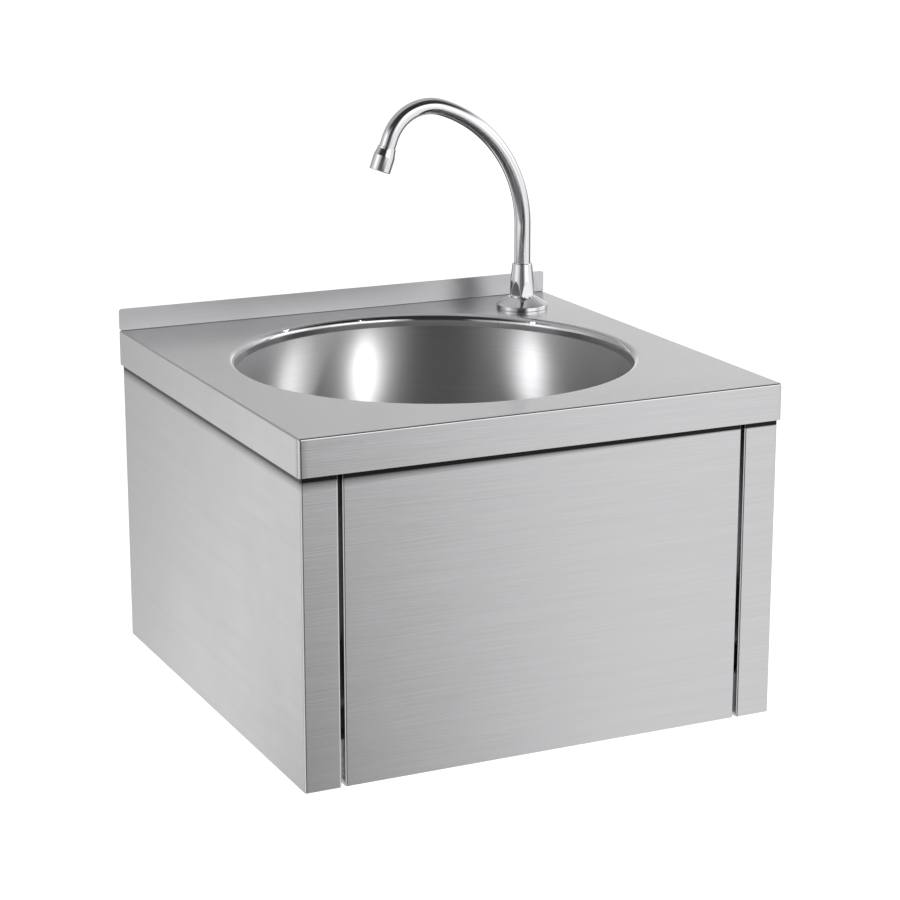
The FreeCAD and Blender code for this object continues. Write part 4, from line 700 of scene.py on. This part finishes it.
class SINK_OT_deck(bpy.types.Operator):
    """Fold the deck: rolled rim round the bowl, flat top, apron on three sides and upstand"""

    bl_idname = "sink.deck"
    bl_label = "Deck"

    EASE = 0.0004                 # a narrow strip beside each curve keeps the flats' shading flat

    def execute(self, context):
        sheet = context.scene.sink_sheet
        top = DECK_HIGH.z - sheet.splash
        self.folded_top(sheet, top)
        self.upstand(sheet, top)
        return {"FINISHED"}

    def folded_top(self, s, top):
        """The sheet from the end of the rolled lip to the apron's edge and back below."""
        centre = np.array(BOWL_MIDDLE[:2])
        inner = s.bend - s.thickness

        # sections of (radius from the bowl's axis, height)
        rim, below = s.rim_inner + s.rim_roll, top - s.rim_roll
        roll = np.concatenate([arc(rim, below, s.rim_roll, 180, 90, 20), [[rim + self.EASE, top]]])
        under_roll = np.concatenate([[[rim + self.EASE, top - s.thickness]],
                                     arc(rim, below, s.rim_roll - s.thickness, 90, 180, 20)])
        lip_end = np.array([[s.rim_inner + s.thickness, top - s.lip], [s.rim_inner, top - s.lip]])

        # sections of (way past the line where the top starts to bend, height above the top)
        edge = np.concatenate([
            [[-self.EASE, 0.0]], arc(0, -s.bend, s.bend, 90, 0, 8),
            [[s.bend, -s.bend - self.EASE], [s.bend, -s.apron], [inner, -s.apron],
             [inner, -s.bend - self.EASE]], arc(0, -s.bend, inner, 0, 90, 8),
            [[-self.EASE, -s.thickness]]])
        rear_edge = np.array([[0.0, 0.0], [0.0, -s.thickness]])

        def columns(profile, foot, ways, level=0.0):
            """The profile over each foot, its first measure along that foot's way."""
            flat = foot + profile[:, None, :1] * ways
            height = np.broadcast_to(level + profile[:, None, 1:], flat.shape[:2] + (1,))
            return np.concatenate([flat, height], -1)

        def sheet_round(run, ways, section):
            rays = unit(run - centre)
            return np.concatenate([
                columns(roll, centre, rays), columns(section, run, ways, top),
                columns(under_roll, centre, rays), columns(lip_end, centre, rays)])

        line, outwards = self.bend_line(s, centre)
        front = sheet_round(line, outwards, edge)
        patches = [grid(front, wrap_rows=True)]
        for column in (0, -1):                 # the apron's two rear ends
            over, under = np.split(front[len(roll):len(roll) + len(edge), column], 2)
            patches.append(grid(np.stack([over, under[::-1]])))

        # behind the bowl the sheet ends at the upstand
        spread_out = np.linspace(-1, 1, 120) * math.atan2(DECK_HIGH.x - s.bend, -centre[1])
        rear = np.column_stack([-centre[1] * np.tan(spread_out), np.zeros(120)])
        rear[[0, -1]] = (line - self.EASE * outwards)[[0, -1]]
        patches.append(grid(sheet_round(rear, np.tile([0.0, 1.0], (120, 1)), rear_edge),
                            wrap_rows=True))
        piece("deck_top", patches, "casing", "stainless_sheet", ["deck"])

    def bend_line(self, s, centre):
        """The line where the top starts to bend and its outward directions, from the left rear corner
        round the front to the right rear corner."""
        x, front, r = DECK_HIGH.x - s.bend, DECK_LOW.y + s.bend, s.corner - s.bend
        reach = centre[1] - front
        angles = np.linspace(math.atan2(-centre[1], x), math.atan2(front + r - centre[1], x), 90)
        side = np.column_stack([np.full(90, -x), centre[1] + x * np.tan(angles)])
        side_out = np.tile([-1.0, 0.0], (90, 1))
        t = np.linspace(0, math.pi / 2, 8)
        corner_out = -np.column_stack([np.cos(t), np.sin(t)])
        corner = np.array([r - x, front + r]) + r * corner_out
        angles = np.linspace(-1, 1, 130) * math.atan2(x - r, reach)
        middle = np.column_stack([reach * np.tan(angles), np.full(130, front)])
        middle_out = np.tile([0.0, -1.0], (130, 1))

        def with_mirror(first, second, shared):
            """Two runs on the left, the shared one and the two again on the right."""
            flip = np.array([-1.0, 1.0])
            return np.concatenate([first, second, shared, second[::-1] * flip, first[::-1] * flip])

        return with_mirror(side, corner, middle), with_mirror(side_out, corner_out, middle_out)

    def upstand(self, s, top):
        """A strip along the wall whose ends are rounded above and notched below."""
        half = DECK_HIGH.x
        t = np.linspace(0, math.pi / 2, 9)
        ends = np.concatenate([half - s.corner * (1 - np.sin(t)), half - s.relief * np.cos(t)])
        along = np.unique(np.round(
            np.concatenate([-ends, ends, np.linspace(-half, half, 41)]), 7))
        reach = half - np.abs(along)
        crown = np.maximum(0, s.corner - reach)
        high = top + s.splash - s.corner + np.sqrt(np.maximum(0, s.corner ** 2 - crown ** 2))
        notch = np.sqrt(np.maximum(0, s.relief ** 2 - reach ** 2))
        low = np.where(reach < s.relief, top + notch, top - s.thickness)
        wall, face = -1e-5, -s.thickness
        hollow = arc(face - s.fold_line, top + s.fold_line, s.fold_line, -90, 0, 6)
        rows = [(y, np.clip(z, low, high)) for y, z in hollow]
        rows += [(face, high), (wall, high), (wall, low), (face - s.fold_line, low)]
        strip = np.stack([np.column_stack([along, np.full_like(along, y), z]) for y, z in rows])
        piece("deck_upstand", [grid(strip, wrap_rows=True), cap(strip[:, 0]), cap(strip[:, -1])],
              "casing", "stainless_sheet", look="upstand_sheet")


class SINK_OT_bowl(bpy.types.Operator):
    """Turn the bowl: tapered wall, large floor radius, sloping floor and recess of the waste"""

    bl_idname = "sink.bowl"
    bl_label = "Bowl"

    def execute(self, context):
        s, sheet = context.scene.sink_bowl, context.scene.sink_sheet
        wall, rim, top = sheet.thickness, sheet.rim_inner, BOWL_HIGH.z
        bottom = BOWL_LOW.z + wall
        floor = bottom + s.recess_depth

        def half_section(grow):
            """The inside, or the outside where grow is the wall, from the lip to the waste hole."""
            corners = [(rim + grow, top), (rim - s.wall_taper + grow, floor + s.floor_fall - grow),
                       (s.recess_radius + grow, floor - grow),
                       (s.recess_radius + grow, bottom - grow), (s.waste_hole, bottom - grow)]
            return open_profile(corners, [0, s.floor_radius + grow, 0.0015, 0.0008, 0], 28)

        loop = np.concatenate([half_section(0.0), half_section(wall)[::-1]])
        ring_piece("bowl_shell", placed(turned(loop, 256), (BOWL_MIDDLE.x, BOWL_MIDDLE.y, 0)),
                   "casing", "stainless_bowl", ["bowl"])
        return {"FINISHED"}


class SINK_OT_tap(bpy.types.Operator):
    """Bend the swan neck and turn its nozzle, collar and base plate"""

    bl_idname = "sink.tap"
    bl_label = "Tap"

    COVER, INSIDE = 0.021, 0.010                 # length of the nozzle, and of the tube inside it

    def execute(self, context):
        s = context.scene.sink_tap
        end, heading = self.swan_neck(s, DECK_HIGH.z - context.scene.sink_sheet.splash)
        self.nozzle(s, end, heading)
        self.base_plate()
        self.collar(s)
        return {"FINISHED"}

    def swan_neck(self, s, top):
        """Path: up, an arc of the wide radius, an arc of the tight radius, then straight.

        Returns the path's end and its direction there, in the plane y = the tap's.
        """
        foot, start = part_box("spout")[0].z, top + s.rise
        rise, run = 24, 10
        wide, tight = s.wide_bend, s.tight_bend
        turn_1 = np.linspace(0, s.wide_angle, 60)
        turn_2 = np.linspace(s.wide_angle, s.full_angle, 60)
        heading = np.array([math.sin(s.full_angle), math.cos(s.full_angle)])
        stem = np.column_stack([np.zeros(rise), np.linspace(foot, start, rise)])
        rising = np.column_stack([wide * (1 - np.cos(turn_1)), start + wide * np.sin(turn_1)])
        falling = rising[-1] + tight * np.column_stack([
            math.cos(s.wide_angle) - np.cos(turn_2), np.sin(turn_2) - math.sin(s.wide_angle)])
        last = s.nozzle_run - self.COVER + self.INSIDE
        straight = falling[-1] + np.linspace(0, last, run)[:, None] * heading
        flat = np.concatenate([stem, rising[1:], falling[1:], straight[1:]])
        angle = np.concatenate([np.zeros(rise), turn_1[1:], turn_2[1:],
                                np.full(run - 1, s.full_angle)])
        centres = np.column_stack([TAP_MIDDLE.x - flat[:, 0], np.full(len(flat), TAP_MIDDLE.y),
                                   flat[:, 1]])
        tangents = np.column_stack([-np.sin(angle), 0 * angle, np.cos(angle)])
        outer, inner = (along_path(centres, tangents, circle_section(radius, 64),
                                   np.array([0.0, 1.0, 0.0]))
                        for radius in (s.tube, s.tube - s.tube_wall))
        ends = [grid(np.stack([outer[i], inner[i]]), wrap_columns=True) for i in (0, -1)]
        piece("swan_neck", [grid(outer, wrap_columns=True), grid(inner, wrap_columns=True)] + ends,
              "spout", "chrome_plate", ["spout"])
        return centres[-1], np.array([-heading[0], 0.0, heading[1]])

    def nozzle(self, s, end, heading):
        """Turned about the tube's last direction, which its mouth looks along."""
        cover, seat = self.COVER, self.COVER - self.INSIDE
        mouth, outside, neck, bore, wall = 0.0073, 0.00915, 0.0079, s.tube + 5e-5, 0.0012
        profile = rounded(
            [(mouth, 0), (outside, 0), (outside, cover - 0.008), (neck, cover - 0.002),
             (neck, cover), (bore, cover), (bore, seat), (outside - wall, seat - 0.001),
             (outside - wall, 0.001), (mouth, 0.001)],
            [0.0001, 0.0007, 0.0018, 0.0018, 0.0004, 0.0001, 0.0001, 0.0001, 0.0001, 0.0001], 7)
        tilt = Matrix.Rotation(math.pi - s.full_angle, 3, "Y")
        ring_piece("nozzle_shell", placed(turned(profile, 96), end + seat * heading, tilt), "spout",
                   "chrome_plate", ["aerator_housing"])

    def base_plate(self):
        """A shallow cone with an upright rim, hollow below."""
        low, high = PLATE_LOW.z, PLATE_HIGH.z
        edge, rim, flat, wall, hole = (PLATE_HIGH.x - PLATE_LOW.x) / 2, 0.0034, 0.012, 0.0014, 0.0086
        profile = rounded(
            [(edge - wall, low), (edge, low), (edge, low + rim), (flat, high), (hole, high),
             (hole, high - wall), (flat - wall / 2, high - wall),
             (edge - wall, low + rim - wall / 2)],
            [0.0001, 0.0003, 0.0007, 0.002, 0.0003, 0.0001, 0.001, 0.0005], 8)
        ring_piece("base_plate", placed(turned(profile, 160), (TAP_MIDDLE.x, TAP_MIDDLE.y, 0)),
                   "casing", "chrome_plate", ["escutcheon"])

    def collar(self, s):
        """A cone cut by six upright flats: r = min(cone radius, flat / cos(angle from the flat))."""
        low, high = COLLAR_LOW.z, COLLAR_HIGH.z
        foot, mouth, flat, chamfer, crown = 0.0116, 0.0086, 0.0102, 0.0015, 0.0005
        bore, hole, shoulder = s.tube + 0.0003, 0.0086, low + 0.0126
        levels = np.concatenate([
            [low, low + chamfer / 2, low + chamfer],
            np.linspace(low + chamfer, high - crown, 44)[1:], [high - 0.0001, high]])
        share = (levels - low - chamfer) / (high - crown - low - chamfer)
        cone = foot + (mouth - foot) * np.clip(share, 0, 1)
        cone[:2] = foot - chamfer, foot - chamfer / 2
        cone[-2:] = mouth - 0.0002, mouth - 0.0006
        sixth = math.pi / 3
        from_flat = full_turn(180) % sixth - sixth / 2
        radius = np.minimum(cone[:, None], flat / np.cos(from_flat))
        inner = np.array([(bore, high), (bore, shoulder), (hole, shoulder), (hole, low)])
        shell = np.concatenate([lathe(radius, levels[:, None], 180), turned(inner, 180)])
        ring_piece("hex_collar", placed(shell, (TAP_MIDDLE.x, TAP_MIDDLE.y, 0)), "casing",
                   "chrome_plate", ["tap_collar"], crease=20.0)


class SINK_OT_waste(bpy.types.Operator):
    """Turn the strainer's screw: a domed head with a slot"""

    bl_idname = "sink.waste"
    bl_label = "Waste screw"

    def execute(self, context):
        low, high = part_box("strainer_screw")
        centre = ((low.x + high.x) / 2, (low.y + high.y) / 2, 0)
        radius, shank, slot = (high.x - low.x) / 2, 0.003, 0.0008
        seat, floor = high.z - 0.002, high.z - 0.0012
        barrel = turned(np.array([(0, low.z), (shank, low.z), (shank, seat), (radius, seat),
                                  (radius, floor), (0, floor)]), 48)
        patches = [grid(placed(barrel, centre), wrap_rows=True, wrap_columns=True)]
        across, along = np.meshgrid(np.linspace(0, 1, 14) ** 0.8, np.linspace(-1, 1, 29),
                                    indexing="ij")
        x = slot + (radius - slot) * across
        y = along * np.sqrt(np.maximum(0, radius ** 2 - x ** 2))
        out = (x ** 2 + y ** 2) / radius ** 2
        z = high.z - (high.z - floor - 0.0001) * out ** 2
        for sign in (-1, 1):                 # the two halves of the dome
            over, under = (placed(np.stack([sign * x, y, height], -1), centre)
                           for height in (z, np.full_like(z, floor)))
            patches += [grid(over), grid(under)]
            patches += [grid(np.stack([over[part], under[part]]))
                        for part in (0, np.s_[:, 0], np.s_[:, -1])]
        piece("strainer_screw_head", patches, "casing", "stainless_waste", ["strainer_screw"])
        return {"FINISHED"}


class SINK_OT_valve_spring(bpy.types.Operator):
    """Wind the valve's return spring at rest; the coil here doesn't close up as the button goes in"""

    bl_idname = "sink.valve_spring"
    bl_label = "Valve spring"

    def execute(self, context):
        s = context.scene.sink_inside
        wire, turns = s.spring_wire / 2, s.spring_turns
        centre = (SPRING_LOW + SPRING_HIGH) / 2
        radius = (SPRING_HIGH.x - SPRING_LOW.x) / 2 - wire
        share = np.linspace(0, 1, int(turns * 40) + 1)
        angle = 2 * math.pi * turns * share
        # closed ends: the pitch grows over the first turn and shrinks over the last
        pitch = np.clip(np.minimum(share, 1 - share) * turns * 1.1, 0.25, 1.0)
        along = np.concatenate([[0], np.cumsum((pitch[1:] + pitch[:-1]) / 2)])
        reach = SPRING_HIGH.y - SPRING_LOW.y - 2 * wire
        path = np.column_stack([centre.x + radius * np.cos(angle),
                                SPRING_LOW.y + wire + reach * along / along[-1],
                                centre.z + radius * np.sin(angle)])
        tube = along_path(path, unit(np.gradient(path, axis=0)), circle_section(wire, 14),
                          np.array([0.0, 1.0, 0.0]))
        coil = rod_piece("return_spring", tube, "spring_steel", ["valve_spring"], crease=60)
        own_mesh(coil)
        return {"FINISHED"}


class SINK_OT_hose(bpy.types.Operator):
    """Braid the hose from the valve to the tap"""

    bl_idname = "sink.hose"
    bl_label = "Hose"

    VALVE_Y, VALVE_Z, SHANK_Y = -0.3205, -0.045, -0.057
    STRAND, STEP = 0.0006, 0.00062                 # thickness of a strand, step along the hose

    def execute(self, context):
        s = context.scene.sink_inside
        path, tangent = self.route(s)
        length = np.concatenate([[0], np.cumsum(np.linalg.norm(np.diff(path, axis=0), axis=1))])
        count = 78
        cell = 2 * math.pi * s.hose_radius / s.hose_strands
        height = self.weave(np.linspace(0, s.hose_strands, count, endpoint=False),
                            (length / cell)[:, None])
        radius = s.hose_radius - self.STRAND + self.STRAND * height
        # a direction that never lies along the hose: up at its start, and to the left at its end
        across = np.column_stack([-tangent[:, 2], 0 * tangent[:, 0], 1 - tangent[:, 2]])
        tube = along_path(path, tangent, radius[..., None] * circle_section(1.0, count), across)
        rod_piece("braided_hose", tube, "hose_braid", ["outlet_hose"], crease=75)
        return {"FINISHED"}

    def route(self, s):
        """Runs and quarter bends: along +X, round to +Y, then round to +Z. (path, directions)"""
        start = np.array([HOSE_LOW.x, self.VALVE_Y, self.VALVE_Z])
        end = np.array([HOSE_HIGH.x - s.hose_radius, self.SHANK_Y, HOSE_HIGH.z])
        bend = s.hose_bend
        angle = np.linspace(0, math.pi / 2, int(math.pi / 2 * bend / self.STEP))[:, None]
        x, y, z = np.eye(3)

        def run(first, last):
            return np.linspace(first, last, max(2, int(np.linalg.norm(last - first) / self.STEP)))

        def quarter(corner, into, out):
            return corner + bend * (out - into + np.sin(angle) * into - np.cos(angle) * out)

        corner_1 = np.array([end[0], start[1], start[2]])
        corner_2 = np.array([end[0], end[1], start[2]])
        parts = [run(start, corner_1 - bend * x), quarter(corner_1, x, y),
                 run(corner_1 + bend * y, corner_2 - bend * y), quarter(corner_2, y, z),
                 run(corner_2 + bend * z, end)]
        path = np.concatenate([parts[0]] + [part[1:] for part in parts[1:]])
        return path, unit(np.gradient(path, axis=0))

    def weave(self, around, along):
        """Two families of flat strands at 45 degrees that go over and under each other.

        With a = around + along and b = around - along, the strand of one family is round across b and
        rises and falls along a; which one is on top changes from cell to cell.
        """
        a, b = around + along, around - along
        wave_a, wave_b = np.sin(math.pi * (a % 1)), np.sin(math.pi * (b % 1))
        return np.where((np.floor(a) + np.floor(b)) % 2 == 0,
                        np.sqrt(wave_b) * (0.55 + 0.45 * wave_a),
                        np.sqrt(wave_a) * (0.55 + 0.45 * wave_b))


class SINK_OT_threads(bpy.types.Operator):
    """Cut the threads of the inlets, the waste and the tap's shank"""

    bl_idname = "sink.threads"
    bl_label = "Threads"

    INLET_X, INLET_Z, INLET_RUN = 0.032, -0.085, 0.0135
    HALF_INCH, WASTE = 0.01048, 0.02095                 # radii of the shafts below the threads

    def execute(self, context):
        drain = (WASTE_LOW + WASTE_HIGH) / 2
        inlet_end, shank_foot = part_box("mixer_body")[1].y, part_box("tap_shank")[0].z
        for name, sign in (("left", -1), ("right", 1)):
            foot = (sign * self.INLET_X, inlet_end - self.INLET_RUN, self.INLET_Z)
            self.sleeve(f"inlet_thread_{name}", self.HALF_INCH, foot, 0.013, 0.00181, "cast_brass",
                        Matrix.Rotation(-math.pi / 2, 3, "X"))
        self.sleeve("waste_thread", self.WASTE, (drain.x, drain.y, WASTE_LOW.z + 0.0005), 0.034,
                    0.00231, "stainless_waste")
        self.sleeve("shank_thread", self.HALF_INCH,
                    (TAP_MIDDLE.x, TAP_MIDDLE.y, shank_foot + 0.0205), 0.0125, 0.0015, "cast_brass")
        return {"FINISHED"}

    def sleeve(self, name, radius, foot, length, pitch, slot, turned_by=None):
        """A thread on a shaft: r = root + depth * ridge((z - pitch * u / 2 pi) / pitch), run out at
        both ends."""
        count, depth, above, below = 48, 0.00042, 0.00002, 0.0002
        z = np.linspace(0, length, int(length / pitch * 8) + 1)[:, None]
        phase = (z / pitch - full_turn(count) / (2 * math.pi)) % 1
        ridge = np.clip(1.25 - 2.5 * np.abs(phase - 0.5), 0, 1)
        run_out = np.clip(np.minimum(z, length - z) / pitch, 0, 1)
        shell = np.concatenate([lathe(radius + above + depth * ridge * run_out, z, count),
                                lathe(radius - below, z[[-1, 0]], count)])
        ring_piece(name, placed(shell, foot, turned_by), "casing", slot, crease=40)


class SINK_OT_stage(bpy.types.Operator):
    """Set the camera, the floor, the world and the lamps"""

    bl_idname = "sink.stage"
    bl_label = "Stage"

    def execute(self, context):
        s, sheet, scene = context.scene.sink_stage, context.scene.sink_sheet, context.scene
        scene.view_settings.view_transform = "Standard"
        camera = bpy.data.cameras.new("camera")
        camera.lens, camera.sensor_width = s.lens, 36.0
        camera.clip_start, camera.clip_end = 0.05, 100.0
        scene.camera = self.aimed("camera", camera, Vector(CAMERA_PLACE),
                                  -self.direction(s.azimuth, s.elevation))
        self.world(scene)
        self.floor(scene, DECK_HIGH.z - sheet.splash - s.floor_drop, tuple(s.floor_white))
        key = bpy.data.lights.new("key_light", "AREA")
        key.energy, key.size = KEY_POWER, KEY_SIZE
        self.aimed("key_light", key, KEY_PLACE, BOWL_MIDDLE - KEY_PLACE).visible_glossy = False
        for index, (wall, depth, azimuth, elevation, power) in enumerate(BOWL_SPOTS, 1):
            name = f"bowl_spot_{index}"
            spot = bpy.data.lights.new(name, "SPOT")
            spot.energy, spot.shadow_soft_size = power, SPOT_SIZE
            spot.spot_size, spot.spot_blend = SPOT_CONE, 1.0
            place = (Vector((BOWL_MIDDLE.x, BOWL_MIDDLE.y, BOWL_HIGH.z - depth))
                     + sheet.rim_inner * self.direction(math.radians(wall)))
            back = self.direction(math.radians(azimuth), math.radians(elevation))
            self.aimed(name, spot, place + SPOT_REACH * back, -back)
        return {"FINISHED"}

    def direction(self, azimuth, elevation=0.0):
        """A direction by azimuth from the front to the right, and elevation."""
        return Vector((math.sin(azimuth) * math.cos(elevation),
                       -math.cos(azimuth) * math.cos(elevation), math.sin(elevation)))

    def aimed(self, name, data, place, way):
        """A camera or lamp at a place, looking along a direction."""
        thing = bpy.data.objects.new(name, data)
        bpy.context.scene.collection.objects.link(thing)
        thing.location = place
        thing.rotation_mode = "QUATERNION"
        thing.rotation_quaternion = way.to_track_quat("-Z", "Y")
        return thing

    def world(self, scene):
        """White to the camera, even to matt surfaces, and the studio's panels to metal."""
        scene.world = world = bpy.data.worlds.new("studio")
        world.use_nodes = True
        tree = world.node_tree
        mirrored = self.tone(tree, node(tree, "ShaderNodeTexCoord").outputs["Generated"])
        seen, mirroring = self.rays(tree)
        strength = blend_of(tree, seen, blend_of(tree, mirroring, STUDIO_MATT, mirrored), 1.0)
        tree.links.new(strength, tree.nodes["Background"].inputs["Strength"])
        tree.nodes["Background"].inputs["Color"].default_value = (1.0, 1.0, 1.0, 1.0)

    def rays(self, tree):
        """(1 for what the camera sees, 1 for what metal and glass show)."""
        path = node(tree, "ShaderNodeLightPath").outputs
        return path["Is Camera Ray"], maths(tree, "MAXIMUM", path["Is Glossy Ray"],
                                            path["Is Transmission Ray"])

    def tone(self, tree, way):
        """The studio's tone in a direction."""
        used = node(tree, "ShaderNodeGroup", node_tree=bpy.data.node_groups["studio_tone"])
        tree.links.new(way, used.inputs["Direction"])
        return used.outputs["Tone"]

    def floor(self, scene, level, white):
        """A pale floor that keeps the sink's shadow: white to the camera, the studio's tones to metal
        and clear from below."""
        reach = 12.0
        corners = [(x, y, level) for x, y in ((-reach, -reach), (reach, -reach), (reach, reach),
                                              (-reach, reach))]
        mesh = bpy.data.meshes.new("floor")
        mesh.from_pydata(corners, [], [(0, 1, 2, 3)])
        floor = bpy.data.objects.new("floor", mesh)
        scene.collection.objects.link(floor)
        material = bpy.data.materials.new("floor_white")
        material.use_nodes = True
        tree = material.node_tree
        tree.nodes.clear()
        way = vector_maths(tree, "SUBTRACT", own_place(tree), tuple((CAD_LOW + CAD_HIGH) / 2))
        seen, mirroring = self.rays(tree)
        mirrored = times(tree, mirroring, self.tone(tree, way["Vector"]))
        glow = node(tree, "ShaderNodeEmission", {
            "Color": (*white, 1.0), "Strength": plus(tree, times(tree, seen, 0.5), mirrored)})
        matt = node(tree, "ShaderNodeBsdfDiffuse", {"Color": (0.8, 0.8, 0.8, 1.0)})
        lit = node(tree, "ShaderNodeAddShader", {0: matt.outputs[0], 1: glow.outputs[0]})
        above = node(tree, "ShaderNodeMixShader",
                     {0: mirroring, 1: lit.outputs[0], 2: glow.outputs[0]})
        clear = node(tree, "ShaderNodeBsdfTransparent")
        below = node(tree, "ShaderNodeNewGeometry").outputs["Backfacing"]
        surface = node(tree, "ShaderNodeMixShader",
                       {0: below, 1: above.outputs[0], 2: clear.outputs[0]})
        node(tree, "ShaderNodeOutputMaterial", {"Surface": surface.outputs[0]})
        mesh.materials.append(material)


SETTINGS = (
    ("sink_sheet", SheetSettings), ("sink_bowl", BowlSettings), ("sink_tap", TapSettings),
    ("sink_inside", InsideSettings), ("sink_stage", StageSettings),
)
OPERATORS = (SINK_OT_finishes, SINK_OT_carried_over, SINK_OT_deck, SINK_OT_bowl, SINK_OT_tap,
             SINK_OT_waste, SINK_OT_valve_spring, SINK_OT_hose, SINK_OT_threads, SINK_OT_stage)


class SINK_PT_panel(bpy.types.Panel):
    """Sink: one button for each group of pieces"""

    bl_idname = "SINK_PT_panel"
    bl_label = "Sink"
    bl_space_type = "VIEW_3D"
    bl_region_type = "UI"
    bl_category = "Sink"

    def draw(self, context):
        for operator in OPERATORS:
            self.layout.operator(operator.bl_idname)


def register():
    for name, group in SETTINGS:
        bpy.utils.register_class(group)
        setattr(bpy.types.Scene, name, bpy.props.PointerProperty(type=group))
    for made in OPERATORS + (SINK_PT_panel,):
        bpy.utils.register_class(made)


def unregister():
    for made in reversed(OPERATORS + (SINK_PT_panel,)):
        bpy.utils.unregister_class(made)
    for name, group in reversed(SETTINGS):
        delattr(bpy.types.Scene, name)
        bpy.utils.unregister_class(group)


def main():
    register()
    bpy.ops.sink.finishes()
    bpy.ops.sink.carried_over()
    bpy.ops.sink.deck()
    bpy.ops.sink.bowl()
    bpy.ops.sink.tap()
    bpy.ops.sink.waste()
    bpy.ops.sink.valve_spring()
    bpy.ops.sink.hose()
    bpy.ops.sink.threads()
    bpy.ops.sink.stage()


if __name__ == "__main__":
    main()
